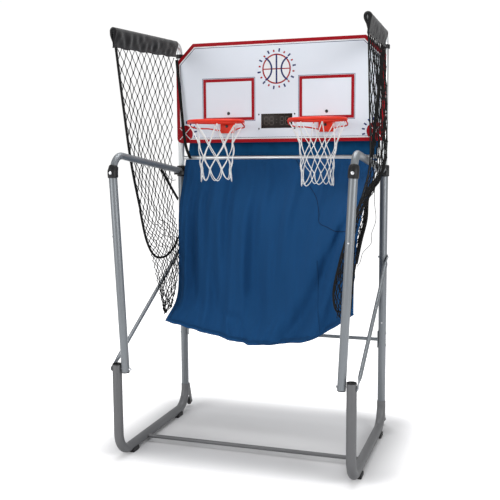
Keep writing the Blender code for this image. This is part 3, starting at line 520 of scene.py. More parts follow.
def turned(name, stations, material, place=None, sides=40, soften=0.0):
    """Build a turned piece: a disc extruded and resized from station to station.

    Stations are (radius, height) pairs along the piece's own axis, which the place matrix sets.
    """
    deselect()
    radius, height = stations[0]
    bpy.ops.mesh.primitive_circle_add(vertices=sides, radius=radius, fill_type="NGON",
                                      location=(0, 0, height))
    obj = bpy.context.object
    settle(obj)
    bpy.ops.object.mode_set(mode="EDIT")
    bpy.ops.mesh.select_all(action="SELECT")
    for next_radius, next_height in stations[1:]:
        bpy.ops.mesh.extrude_region_move(
            TRANSFORM_OT_translate={"value": (0, 0, next_height - height)})
        factor = next_radius / radius
        bpy.ops.transform.resize(value=(factor, factor, 1))
        radius, height = next_radius, next_height
    bpy.ops.mesh.select_all(action="SELECT")
    bpy.ops.mesh.normals_make_consistent(inside=False)
    bpy.ops.object.mode_set(mode="OBJECT")
    if soften:
        chamfered(obj, soften)
    if place is not None:
        settle(obj, place)
    return smooth(named(obj, name, material))


def tube(name, points, radius, material, bend=0.1):
    """Run a round tube along a line: extruded on the straights and spun round the bends."""
    shape = settings("frame")
    deselect()
    bpy.ops.mesh.primitive_circle_add(vertices=shape.tube_sides, radius=radius, fill_type="NGON")
    obj = bpy.context.object
    settle(obj, along(points[0], points[1]))
    bpy.ops.object.mode_set(mode="EDIT")
    bpy.ops.mesh.select_all(action="SELECT")
    here = points[0]
    for before, corner, after in zip(points, points[1:], points[2:]):
        into = (corner - before).normalized()
        out = (after - corner).normalized()
        turn = into.angle(out)
        tangent = bend * math.tan(turn / 2)
        start = corner - into * tangent
        bpy.ops.mesh.extrude_region_move(TRANSFORM_OT_translate={"value": start - here})
        inward = (out - into * out.dot(into)).normalized()
        bpy.ops.mesh.spin(steps=max(3, round(shape.bend_steps * turn / (math.pi / 2))), angle=turn,
                          center=start + inward * bend, axis=inward.cross(into))
        here = corner + out * tangent
    bpy.ops.mesh.extrude_region_move(TRANSFORM_OT_translate={"value": points[-1] - here})
    bpy.ops.mesh.select_all(action="SELECT")
    bpy.ops.mesh.remove_doubles(threshold=0.00001)
    bpy.ops.mesh.normals_make_consistent(inside=False)
    bpy.ops.object.mode_set(mode="OBJECT")
    chamfered(obj, radius * 0.06, 2, 60)
    return smooth(named(obj, name, material))


def slab(name, low, high, material, edge=0.0008, segments=2):
    """Box between two corners with broken edges."""
    deselect()
    bpy.ops.mesh.primitive_cube_add(size=1, location=(low + high) / 2, scale=high - low)
    obj = settle(bpy.context.object)
    chamfered(obj, edge, segments)
    return smooth(named(obj, name, material))


def refined(node_name, material, edge=0.0004):
    """Fine copy of a CAD node: merged, with broken edges and smooth shading."""
    source = frame["nodes"][node_name]
    made = bpy.data.objects.new(node_name + "_finished", source.data.copy())
    bpy.context.collection.objects.link(made)
    pick(made)
    bpy.ops.object.mode_set(mode="EDIT")
    bpy.ops.mesh.select_all(action="SELECT")
    bpy.ops.mesh.remove_doubles(threshold=0.000005)
    bpy.ops.mesh.dissolve_limited(angle_limit=math.radians(0.5))
    bpy.ops.object.mode_set(mode="OBJECT")
    named(made, node_name + "_finished", material)
    if edge:
        chamfered(made, edge, 2, 40)
    smooth(made, 40)
    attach(made, source["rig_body"])
    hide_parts(node_name)
    return made


def stand_for(obj, node_name):
    """Let a finished piece ride with a CAD node and stand for it."""
    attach(obj, frame["nodes"][node_name]["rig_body"])
    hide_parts(node_name)
    return obj


def curve_line(points, count):
    """Even number of points on a smooth curve through a few points."""
    ends = [points[0] * 2 - points[1]] + list(points) + [points[-1] * 2 - points[-2]]
    line = []
    for index in range(count):
        place = index / (count - 1) * (len(points) - 1)
        span = min(int(place), len(points) - 2)
        t = place - span
        a, b, c, d = ends[span:span + 4]
        line.append(0.5 * (2 * b + (c - a) * t + (2 * a - 5 * b + 4 * c - d) * t * t
                           + (3 * b - a - 3 * c + d) * t ** 3))
    return line


def cords(name, lines, radius, material, round_steps=1, thick=None):
    """Lay cords along lines of points, as one mesh. Thick gives each point's share of the radius."""
    deselect()
    data = bpy.data.curves.new(name, "CURVE")
    data.dimensions = "3D"
    data.bevel_depth = radius
    data.bevel_resolution = round_steps
    data.use_fill_caps = True
    for index, line in enumerate(lines):
        spline = data.splines.new("POLY")
        spline.points.add(len(line) - 1)
        for place, (point, value) in enumerate(zip(spline.points, line)):
            point.co = (*value, 1)
            point.radius = thick[index][place] if thick else 1.0
    obj = bpy.data.objects.new(name, data)
    bpy.context.collection.objects.link(obj)
    pick(obj)
    bpy.ops.object.convert(target="MESH")
    obj = bpy.context.object
    obj.data.shade_smooth()
    return named(obj, name, material)


def mesh_piece(name, bm, material):
    """Turn a bmesh into a smooth object."""
    mesh = bpy.data.meshes.new(name)
    bm.to_mesh(mesh)
    bm.free()
    mesh.shade_smooth()
    obj = bpy.data.objects.new(name, mesh)
    bpy.context.collection.objects.link(obj)
    return named(obj, name, material)


def strip(name, rings, material):
    """Skin rings of points into one closed strip."""
    bm = bmesh.new()
    rings = [[bm.verts.new(point) for point in ring] for ring in rings]
    for first, second in zip(rings, rings[1:]):
        for index in range(len(first)):
            after = (index + 1) % len(first)
            bm.faces.new((first[index], first[after], second[after], second[index]))
    bm.faces.new(rings[0])
    bm.faces.new(rings[-1])
    bmesh.ops.recalc_face_normals(bm, faces=bm.faces)
    return mesh_piece(name, bm, material)


def ribbon(name, path, facing, width, thickness, material):
    """Lay a flat strap along a path, its width turned from the facing direction."""
    rings = []
    for index, point in enumerate(path):
        ahead = (path[min(index + 1, len(path) - 1)] - path[max(index - 1, 0)]).normalized()
        across = facing.cross(ahead).normalized() * (width / 2)
        out = ahead.cross(across).normalized() * (thickness / 2)
        rings.append([point + shift for shift in
                      (across * 0.9 + out, across, across * 0.9 - out, across * -0.9 - out,
                       across * -1.0, across * -0.9 + out)])
    return strip(name, rings, material)


def cloth(name, columns, rows, place, size, thickness, material):
    """Lay a cloth whose place function gives a point for each share across and down.

    Its UV map is in metres, so that the weave keeps its scale.
    """
    bm = bmesh.new()
    grid = [[bm.verts.new(place(column / (columns - 1), row / (rows - 1)))
             for column in range(columns)] for row in range(rows)]
    layer = bm.loops.layers.uv.new("UVMap")
    for row in range(rows - 1):
        for column in range(columns - 1):
            corners = ((row, column), (row + 1, column), (row + 1, column + 1), (row, column + 1))
            face = bm.faces.new([grid[r][c] for r, c in corners])
            for loop, (r, c) in zip(face.loops, corners):
                loop[layer].uv = (c / (columns - 1) * size[0], r / (rows - 1) * size[1])
    obj = mesh_piece(name, bm, material)
    apply(obj, "SOLIDIFY", "Cloth thickness", thickness=thickness, offset=0)
    obj.data.shade_smooth()
    return obj


# ------------------------------------------------------------------ frame

TUBES = {
    # node stem: (line on the right side, radius, bend, finish, slot)
    "base_tube": ([Vector((HALF, FRONT_Y, STUB_TOP)), Vector((HALF, FRONT_Y, BASE_Z)),
                   Vector((HALF, REAR_Y, BASE_Z)), Vector((HALF, REAR_Y, 0.150))],
                  BASE_R, 0.100, shaded_base_paint, "frame_grey"),
    "lower_upright": ([Vector((HALF, REAR_Y, 0.131)), Vector((HALF, REAR_Y, LOWER_TOP))],
                      0.020, 0.1, paint, "frame_grey"),
    "upper_upright": ([Vector((HALF, REAR_Y, LOWER_TOP - 0.040)), Vector((HALF, REAR_Y, UPPER_TOP))],
                      0.016, 0.1, silver, "silver_tube"),
    "leg": ([LEG_FOOT, ELBOW - (ELBOW - LEG_FOOT).normalized() * 0.004],
            0.019, 0.1, paint, "frame_grey"),
    "arm": ([Vector((HALF, REAR_Y - 0.0273, LOWER_TOP + 0.005)),
             ELBOW + TO_ARM * 0.086,
             ELBOW + TO_ARM * 0.004],
            0.016, 0.078, paint, "frame_grey"),
    "net_arm": ([Vector((HALF, REAR_Y, UPPER_TOP - 0.065)), NET_ARM_CORNER,
                 NET_ARM_CORNER + NET_ARM_RUN],
                0.01375, NET_ARM_BEND, silver, "silver_tube"),
}

SMALL_PARTS = (
    # node stem, finish, slot, width of the broken edges
    ("stub_cap", plastic, "black_plastic", 0.0004),
    ("front_foot", rubber, "foot_rubber", 0.0),
    ("rear_foot", rubber, "foot_rubber", 0.0),
    ("collar", plastic, "black_plastic", 0.0006),
    ("brace", paint, "frame_grey", 0.0),
    ("pivot_bolt", zinc, "zinc_bolt", 0.0003),
    ("leg_end_cap", plastic, "black_plastic", 0.0004),
    ("elbow", plastic, "black_plastic", 0.0008),
    ("wheel_bracket", shaded_base_paint, "frame_grey", 0.0003),
    ("hoop_bolt", black_screw, "black_bolt", 0.0003),
    ("hoop_sensor", plastic, "black_plastic", 0.0006),
    ("net_arm_clamp", plastic, "black_plastic", 0.0005),
)


def hollowed(obj, toward, wall, depth):
    """Sink the flat end of a tube that faces a direction, to leave its wall showing."""
    pick(obj)
    for face in obj.data.polygons:
        face.select = len(face.vertices) > END_SIDES and face.normal.dot(toward) > 0.99
    for part in (*obj.data.vertices, *obj.data.edges):
        part.select = False
    bpy.ops.object.mode_set(mode="EDIT")
    bpy.ops.mesh.select_mode(type="FACE")
    bpy.ops.mesh.inset(thickness=wall)
    bpy.ops.mesh.extrude_region_move(TRANSFORM_OT_translate={"value": toward * -depth})
    bpy.ops.mesh.select_mode(type="VERT")
    bpy.ops.object.mode_set(mode="OBJECT")
    smooth(obj)


class MESH_OT_hoop_machine_tubes(bpy.types.Operator):
    """Bend the round tubes of the frame, the front frames and the net arms"""
    bl_idname = "mesh.hoop_machine_tubes"
    bl_label = "Tubes"
    bl_options = {"REGISTER", "UNDO"}

    def execute(self, context):
        for stem, (line, radius, bend, look, slot) in TUBES.items():
            right = tube(stem + "_right_finished", line, radius, look(), bend)
            if stem == "base_tube":
                hollowed(right, UP, 0.002, 0.014)
            left = copied(right, stem + "_left_finished", MIRROR)
            stand_for(right, stem + "_right")
            stand_for(left, stem + "_left")
        for name, look, slot in (("floor_crossbar", shaded_base_paint, "frame_grey"),
                                 ("upper_crossbar", silver, "silver_tube"),
                                 ("board_rail_upper", paint, "frame_grey")):
            low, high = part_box(name)
            centre = (low + high) / 2
            line = [Vector((low.x, centre.y, centre.z)), Vector((high.x, centre.y, centre.z))]
            stand_for(tube(name + "_finished", line, (high.z - low.z) / 2, look()), name)
        return {"FINISHED"}


class MESH_OT_hoop_machine_small_parts(bpy.types.Operator):
    """Finish the collars, elbows, caps, feet, bolts and brackets"""
    bl_idname = "mesh.hoop_machine_small_parts"
    bl_label = "Small parts"
    bl_options = {"REGISTER", "UNDO"}

    def execute(self, context):
        for stem, look, slot, edge in SMALL_PARTS:
            for name, _ in SIDES:
                refined(stem + "_" + name, look(), edge)
        for name in ("board_rail_lower", "rear_crossbar"):
            refined(name, paint(), 0.0004)
        for name, look, slot in (("score_housing", plastic, "black_plastic"),
                                 ("start_button", rubber, "button_rubber"),
                                 ("mode_button", rubber, "button_rubber")):
            refined(name, look(), 0.0006)
        board = grained("Circuit board", (0.02, 0.12, 0.05), 0.5, bump=None)
        refined("score_circuit_board", board, 0.0)
        return {"FINISHED"}


class MESH_OT_hoop_machine_wheels(bpy.types.Operator):
    """Turn the two transport wheels, with their hubs and treads"""
    bl_idname = "mesh.hoop_machine_wheels"
    bl_label = "Transport wheels"
    bl_options = {"REGISTER", "UNDO"}

    def execute(self, context):
        red = grained("Dark red wheel", (0.10, 0.010, 0.012), 0.5, 0.0, 0.15, 200.0)
        for name, _ in SIDES:
            low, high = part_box("wheel_" + name)
            radius = (high.z - low.z) / 2
            half = (high.x - low.x) / 2
            place = along((low + high) / 2, Vector((high.x, *((low + high) / 2).yz)))
            edge = half - 0.0015
            tread = turned("wheel_tread", [(0.0135, -edge), (radius - 0.003, -edge),
                                           (radius, 0.003 - edge), (radius, edge - 0.003),
                                           (radius - 0.003, edge), (0.0135, edge)],
                           rubber(), place, soften=0.0005)
            hub = turned("wheel_hub", [(0.0052, -half), (0.0095, -half), (0.0125, 0.0010 - edge),
                                       (0.0134, 0.0012 - edge), (0.0134, edge - 0.0012),
                                       (0.0125, edge - 0.0010), (0.0095, half), (0.0052, half)],
                         red, place, soften=0.0003)
            wheel = joined("wheel_%s_finished" % name, [tread, hub])
            stand_for(wheel, "wheel_" + name)
        return {"FINISHED"}


# ------------------------------------------------------------------ fasteners

def bolt_head(name, place, toward, radius, height, material):
    """Domed bolt head on a washer, facing a direction."""
    stations = [(radius * 1.35, 0.0), (radius * 1.35, height * 0.18), (radius, height * 0.2),
                (radius, height * 0.6), (radius * 0.82, height * 0.9), (radius * 0.45, height)]
    return turned(name, stations, material, along(place, place + toward), 24, 0.00015)


def snap_button(name, place, toward, radius, material):
    """Round spring button that locks one tube in another."""
    stations = [(radius, 0.0), (radius, 0.0012), (radius * 0.85, 0.0022), (radius * 0.4, 0.0028)]
    return turned(name, stations, material, along(place, place + toward), 20)


BUTTON_Z = 1.054            # height of the snap button on each leg
ELBOW_BOLT = Vector((HALF, ELBOW.y - 0.0237, ELBOW.z - 0.004))
UPRIGHT_BOLTS_Z = (0.506, 0.443)
UPRIGHT_BUTTON_Z = 0.563
BRACE_BOLT_Z = 0.900
HOOP_BOLT_Z = 1.636
WINDOW_BOLT_X, WINDOW_BOLTS_Z = 0.096, (1.554, 1.627)


class MESH_OT_hoop_machine_fasteners(bpy.types.Operator):
    """Fit the bolts, nuts and snap buttons that show on the tubes and on the board"""
    bl_idname = "mesh.hoop_machine_fasteners"
    bl_label = "Fasteners"
    bl_options = {"REGISTER", "UNDO"}

    def execute(self, context):
        for name, side in SIDES:
            out = Vector((side, 0, 0))
            front_frame = "front_frame_%s_body" % name
            elbow = bolt_head("elbow_bolt_" + name, spot(side, *ELBOW_BOLT), FRONT, 0.0052, 0.0040,
                              zinc())
            lean = (ELBOW.x - LEG_FOOT.x) / (ELBOW.z - LEG_FOOT.z)
            stand = LEG_FOOT.x + lean * (BUTTON_Z - LEG_FOOT.z)
            if side > 0:
                place, toward = spot(side, stand, FRONT_Y - 0.0186, BUTTON_Z), FRONT
            else:
                place, toward = spot(side, stand + 0.0186, FRONT_Y, BUTTON_Z), out
            button = snap_button("leg_button_" + name, place, toward, 0.0042, zinc())
            for piece in (elbow, button):
                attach(piece, front_frame)
            bolts = [bolt_head("upright_bolt", spot(side, HALF + 0.0198, REAR_Y, z), out,
                               0.0055, 0.0045, zinc()) for z in UPRIGHT_BOLTS_Z]
            bolts += [bolt_head("brace_bolt", spot(side, HALF + 0.0250, REAR_Y, BRACE_BOLT_Z), out,
                                0.0060, 0.0045, zinc()),
                      bolt_head("upright_nut", spot(side, HALF - 0.0198, REAR_Y, BRACE_BOLT_Z), -out,
                                0.0055, 0.0060, zinc()),
                      snap_button("upright_button",
                                  spot(side, HALF, REAR_Y - 0.0196, UPRIGHT_BUTTON_Z),
                                  FRONT, 0.0042, zinc())]
            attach(joined("upright_bolts_" + name, bolts), "frame")
        face = BOARD_LOW.y
        heads = [bolt_head("board_bolt", Vector((side * HOOP_X, face, HOOP_BOLT_Z)), FRONT,
                           0.0062, 0.0040, black_screw()) for _, side in SIDES]
        heads += [bolt_head("window_bolt", Vector((side * WINDOW_BOLT_X, face, z)), FRONT,
                            0.0032, 0.0024, black_screw())
                  for _, side in SIDES for z in WINDOW_BOLTS_Z]
        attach(joined("board_bolts", heads), "frame")
        return {"FINISHED"}


# ------------------------------------------------------------------ board and display

def select_edges(obj, test):
    """Select the edges whose middles pass a test."""
    pick(obj)
    bpy.context.tool_settings.mesh_select_mode = (False, True, False)
    points = obj.data.vertices
    for part in (*obj.data.vertices, *obj.data.polygons):
        part.select = False
    for edge in obj.data.edges:
        first, second = (points[index].co for index in edge.vertices)
        edge.select = test((first + second) / 2)
    bpy.ops.object.mode_set(mode="EDIT")


def select_faces(obj, test):
    """Select the faces that pass a test."""
    pick(obj)
    bpy.context.tool_settings.mesh_select_mode = (False, False, True)
    for part in (*obj.data.vertices, *obj.data.edges):
        part.select = False
    for face in obj.data.polygons:
        face.select = test(face)
    bpy.ops.object.mode_set(mode="EDIT")


def to_object():
    """Go back to object mode with vertex selection."""
    bpy.ops.mesh.select_mode(type="VERT")
    bpy.ops.object.mode_set(mode="OBJECT")


def printed_frame(name, centre, half_width, half_height, band, material):
    """Thin printed frame on the board: a flat block, inset on both faces and bridged."""
    deselect()
    bpy.ops.mesh.primitive_cube_add(size=1, location=(centre.x, BOARD_LOW.y, centre.z),
                                    scale=(2 * half_width, PRINT, 2 * half_height))
    obj = settle(bpy.context.object)
    select_faces(obj, lambda face: abs(face.normal.y) > 0.9)
    bpy.ops.mesh.inset(thickness=band)
    bpy.ops.mesh.bridge_edge_loops()
    to_object()
    return named(obj, name, material)


def printed_disc(name, centre, radius, material, band=0.0, sides=64):
    """Thin printed disc, or a ring where a band is given."""
    deselect()
    turn = Matrix.Rotation(math.radians(90), 4, "X")
    bpy.ops.mesh.primitive_cylinder_add(vertices=sides, radius=radius, depth=PRINT)
    obj = settle(bpy.context.object, Matrix.Translation((centre.x, BOARD_LOW.y, centre.z)) @ turn)
    select_faces(obj, lambda face: abs(face.normal.y) > 0.9)
    if band:
        bpy.ops.mesh.inset(thickness=band)
        bpy.ops.mesh.bridge_edge_loops()
    else:
        bpy.ops.mesh.inset(thickness=radius * 0.02)
    to_object()
    return named(obj, name, material)


def printed_line(name, points, width, material):
    """Thin printed line through points (x, z) on the board."""
    ahead_of, behind = Vector((0, -0.0003, 0)), Vector((0, 0.0002, 0))
    rings = []
    for index, (x, z) in enumerate(points):
        before, after = points[max(index - 1, 0)], points[min(index + 1, len(points) - 1)]
        ahead = Vector((after[0] - before[0], 0, after[1] - before[1])).normalized()
        across = Vector((-ahead.z, 0, ahead.x)) * (width / 2)
        place = Vector((x, BOARD_LOW.y, z))
        rings.append([place + shift for shift in
                      (across + ahead_of, across + behind, behind - across, ahead_of - across)])
    obj = strip(name, rings, material)
    obj.data.shade_flat()
    return obj


def arc(centre, radius, first, last, count=24):
    """Points (x, z) on an arc, between two angles in degrees."""
    turns = [math.radians(first + (last - first) * i / (count - 1)) for i in range(count)]
    return [(centre.x + radius * math.cos(turn), centre.z + radius * math.sin(turn))
            for turn in turns]


def ray_at(turn):
    """Unit direction on the board's face at an angle in radians."""
    return Vector((math.cos(turn), 0, math.sin(turn)))


CUT_CORNER, ROUND_CORNER = 0.097, 0.025     # the board's upper and lower corners
TARGET = Vector((0.2615, 0, 1.7075))        # middle of the right target
BALL = Vector((0, 0, 1.856))                # middle of the ball mark
CORNER_BALL = Vector((0.510, 0, 1.534))
CORNER_BALL_R = 0.044


class MESH_OT_hoop_machine_board(bpy.types.Operator):
    """Cut the backboard, with its printed border and score window"""
    bl_idname = "mesh.hoop_machine_board"
    bl_label = "Backboard"
    bl_options = {"REGISTER", "UNDO"}

    def execute(self, context):
        look = settings("board")
        deselect()
        bpy.ops.mesh.primitive_cube_add(size=1, location=(BOARD_LOW + BOARD_HIGH) / 2,
                                        scale=BOARD_HIGH - BOARD_LOW)
        board = settle(bpy.context.object)
        edge = BOARD_HIGH.x - 0.001
        select_edges(board, lambda co: co.z > BOARD_HIGH.z - 0.001 and abs(co.x) > edge)
        bpy.ops.mesh.bevel(offset=CUT_CORNER, segments=1, affect="EDGES")
        to_object()
        select_edges(board, lambda co: co.z < BOARD_LOW.z + 0.001 and abs(co.x) > edge)
        bpy.ops.mesh.bevel(offset=ROUND_CORNER, segments=8, affect="EDGES")
        to_object()
        named(board, "backboard_finished", printed("Board red", look.red))
        for name, tint in (("Board white", look.white), ("Board navy", look.navy),
                           ("Board field", look.field)):
            board.data.materials.append(printed(name, tint))
        select_faces(board, lambda face: face.normal.y > 0.9)
        board.active_material_index = 1
        bpy.ops.object.material_slot_assign()
        to_object()
        select_faces(board, lambda face: face.normal.y < -0.9)
        for width, slot in ((look.border, 1), (look.gap, 2), (look.line, 3)):
            bpy.ops.mesh.inset(thickness=width)
            board.active_material_index = slot
            bpy.ops.object.material_slot_assign()
        to_object()
        deselect()
        gap = Vector((0.0003, 0.03, 0.0003))
        bpy.ops.mesh.primitive_cube_add(size=1, location=(LENS_LOW + LENS_HIGH) / 2,
                                        scale=LENS_HIGH - LENS_LOW + gap * 2)
        cutter = settle(bpy.context.object)
        apply(board, "BOOLEAN", "Score window", operation="DIFFERENCE", object=cutter, solver="EXACT")
        bpy.data.objects.remove(cutter)
        chamfered(board, 0.0006, 2, 40)
        smooth(board, 30)
        stand_for(board, "backboard")
        return {"FINISHED"}


def printed(name, tint):
    """Glossy print on the board."""
    return grained(name, tint, 0.50, 0.0, 0.03, 300.0, 0.05, bump=(0.04, 0.0002),
                   Specular_IOR_Level=0.12)


class MESH_OT_hoop_machine_print(bpy.types.Operator):
    """Print the targets, the plain ball mark and the corner marks on the board"""
    bl_idname = "mesh.hoop_machine_print"
    bl_label = "Board print"
    bl_options = {"REGISTER", "UNDO"}

    def execute(self, context):
        look = settings("board")
        red, navy, white = (printed("Board red", look.red), printed("Board navy", look.navy),
                            printed("Board white", look.white))
        parts = []
        for _, side in SIDES:
            centre = spot(side, *TARGET)
            parts.append(printed_frame("target_band", centre, 0.1415, 0.1075, look.target_band, red))
            parts.append(printed_frame("target_line", centre, 0.1460, 0.1120, 0.0024, navy))
            parts += self.corner_mark(side, red, navy, white)
        ball = BALL
        radius = look.ball_mark
        parts.append(printed_disc("ball_field", ball, radius - 0.0070, white))
        parts.append(printed_disc("ball_ring", ball, radius, red, 0.0072))
        parts.append(printed_line("ball_belt", [(-radius + 0.003, ball.z), (radius - 0.003, ball.z)],
                                  0.0055, red))
        reach = radius - 0.004
        parts.append(printed_line("ball_axis", [(0, ball.z - reach), (0, ball.z + reach)],
                                  0.0085, navy))
        for hand in (-1, 1):
            centre = Vector((hand * radius * 1.18, 0, ball.z))
            start = 180 if hand > 0 else 0
            parts.append(printed_line("ball_seam", arc(centre, radius * 0.84, start - 62, start + 62),
                                      0.0085, navy))
        for index in range(look.dashes):
            angle = math.radians(90 + 360 * (index + 0.5) / look.dashes)
            ray = ray_at(angle)
            far = radius * (1.36 if index % 2 else 1.27)
            ends = [(ball + ray * reach).xz for reach in (radius * 1.13, far)]
            parts.append(printed_line("ball_dash", ends, 0.0080, navy if index % 2 else red))
        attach(joined("board_marks", parts), "frame")
        return {"FINISHED"}

    def corner_mark(self, side, red, navy, white):
        """Plain red ball with white seams and navy dashes in a lower corner."""
        centre = spot(side, *CORNER_BALL)
        radius = CORNER_BALL_R
        parts = [printed_disc("corner_ball", centre, radius, red)]
        for turn in (45, 135):
            ray = ray_at(math.radians(turn)) * radius * 0.98
            ends = [(centre - ray).xz, (centre + ray).xz]
            parts.append(printed_line("corner_seam", ends, 0.0040, white))
        for index in range(5):
            angle = math.radians(90 + side * (8 + 24 * index))
            ray = ray_at(angle)
            ends = [(centre + ray * reach).xz for reach in (radius * 1.2, radius * 1.55)]
            parts.append(printed_line("corner_dash", ends, 0.0075, navy))
        for part in parts[1:3]:
            part.data.transform(Matrix.Translation((0, -0.0002, 0)))
        return parts


SEGMENTS = ((0, 0.020, 0), (0, 0, 0), (0, -0.020, 0),     # across, up, whether it stands
            (-0.0095, 0.010, 1), (0.0095, 0.010, 1), (-0.0095, -0.010, 1), (0.0095, -0.010, 1))
DIGITS_X = (-0.056, -0.028, 0.028, 0.056)


class MESH_OT_hoop_machine_display(bpy.types.Operator):
    """Glaze the score display and lay its unlit digits"""
    bl_idname = "mesh.hoop_machine_display"
    bl_label = "Score display"
    bl_options = {"REGISTER", "UNDO"}

    def execute(self, context):
        lens = grained("Smoked lens", (0.020, 0.014, 0.012), 0.30, 0.0, 0.25, 60.0, 0.05, bump=None,
                       Specular_IOR_Level=0.12)
        refined("display_window", lens, 0.0005)
        unlit = grained("Unlit segment", (0.085, 0.062, 0.052), 0.25, 0.0, 0.1, 200.0, bump=None)
        face = LENS_LOW.y
        centre = (LENS_LOW + LENS_HIGH) / 2
        bar = slab("segment", Vector((-0.0078, face - 0.0003, -0.0011)),
                   Vector((0.0078, face + 0.0002, 0.0011)), unlit, 0.0001, 1)
        parts = []
        for x in DIGITS_X:
            for across, high, upright in SEGMENTS:
                turn = Matrix.Rotation(math.radians(90 * upright), 4, "Y")
                place = Matrix.Translation((x + across, 0, centre.z + high))
                parts.append(copied(bar, "segment", place @ turn))
        bpy.data.objects.remove(bar)
        dots = [slab("dot", Vector((-0.0015, face - 0.0003, centre.z + z - 0.0015)),
                     Vector((0.0015, face + 0.0002, centre.z + z + 0.0015)), unlit, 0.0002, 1)
                for z in (-0.008, 0.008)]
        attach(joined("display_digits", parts + dots), "frame")
        return {"FINISHED"}


# ------------------------------------------------------------------ hoops and their nets

def hoop_paint():
    """Red powder coat of the hoops."""
    return grained("Hoop red", settings("hoop").paint, 0.42, 0.0, 0.06, 160.0, 0.08, 0.0,
                   Specular_IOR_Level=0.25)


class MESH_OT_hoop_machine_hoops(bpy.types.Operator):
    """Make the two hoops: rim, bracket, neck, side rods and net hooks"""
    bl_idname = "mesh.hoop_machine_hoops"
    bl_label = "Hoops"
    bl_options = {"REGISTER", "UNDO"}

    def execute(self, context):
        red = hoop_paint()
        front = BOARD_LOW.y - 0.0003
        deselect()
        bpy.ops.mesh.primitive_torus_add(major_radius=RIM_R, minor_radius=RIM_ROD / 2,
                                         major_segments=80, minor_segments=18)
        rim = settle(bpy.context.object, Matrix.Translation((HOOP_X, HOOP_Y, HOOP_Z)))
        rim.data.shade_smooth()
        parts = [named(rim, "rim", red)]
        low = Vector((HOOP_X - 0.0355, front - 0.030, BRACKET_LOW))
        high = Vector((HOOP_X + 0.0355, front, BRACKET_LOW + 0.052))
        deselect()
        bpy.ops.mesh.primitive_cube_add(size=1, location=(low + high) / 2, scale=high - low)
        bracket = settle(bpy.context.object)
        select_faces(bracket, lambda face: face.normal.z < -0.9)
        bpy.ops.mesh.inset(thickness=0.003)
        bpy.ops.mesh.extrude_region_move(TRANSFORM_OT_translate={"value": (0, 0, 0.048)})
        to_object()
        chamfered(bracket, 0.0022, 3)
        parts.append(smooth(named(bracket, "bracket", red)))
        parts.append(slab("neck", Vector((HOOP_X - 0.028, HOOP_Y + RIM_R - 0.003, HOOP_Z - 0.0035)),
                          Vector((HOOP_X + 0.028, front - 0.001, HOOP_Z + 0.0022)), red, 0.001))
        rods = [[Vector((HOOP_X + hand * 0.0335, front - 0.010, BRACKET_LOW + 0.012)),
                 *(self.on_rod(hand, turn, drop) for turn, drop in (
                     (34, 0.032), (50, 0.031), (66, 0.029), (82, 0.023), (94, 0.013), (102, 0.002)))]
                for hand in (-1, 1)]
        parts.append(cords("side_rods", [curve_line(rod, 34) for rod in rods], 0.0035, red, 2))
        lines = [self.hook_line(index) for index in range(settings("hoop").hooks)]
        parts.append(cords("net_hooks", lines, 0.0017, red, 1))
        right = joined("hoop_right_finished", parts)
        left = copied(right, "hoop_left_finished", MIRROR)
        stand_for(right, "hoop_right")
        stand_for(left, "hoop_left")
        return {"FINISHED"}

    def on_rod(self, hand, turn, drop):
        """Point of a side rod, round the rim from its back and below it."""
        reach = RIM_R + 0.007
        return Vector((HOOP_X + hand * reach * math.sin(math.radians(turn)),
                       HOOP_Y + reach * math.cos(math.radians(turn)), HOOP_Z - drop))

    def hook_line(self, index):
        """Wire loop under the rim that holds the net."""
        angle = 2 * math.pi * (index + 0.5) / settings("hoop").hooks
        ray = Vector((math.cos(angle), math.sin(angle), 0))
        centre = Vector((HOOP_X, HOOP_Y, HOOP_Z)) + ray * RIM_R
        line = [centre + ray * HOOK_R + Vector((0, 0, -0.004))]
        for step in range(9):
            turn = math.pi * step / 8
            line.append(centre + ray * (HOOK_R * math.cos(turn))
                        + Vector((0, 0, -0.0095 - 0.005 * math.sin(turn))))
        line.append(centre - ray * HOOK_R + Vector((0, 0, -0.004)))
        return line


# radius and height of each row of knots below the rim
NET_ROWS = ((0.137, -0.014), (0.092, -0.112), (0.081, -0.180), (0.079, -0.238), (0.080, -0.295))
NET_DROP = {"left": 1.0, "right": 1.07}     # how much longer each net hangs


def knotted(line):
    """Thickness along a strand, swelling at the knot on each end."""
    return [1.35] + [1.0] * (len(line) - 2) + [1.35]


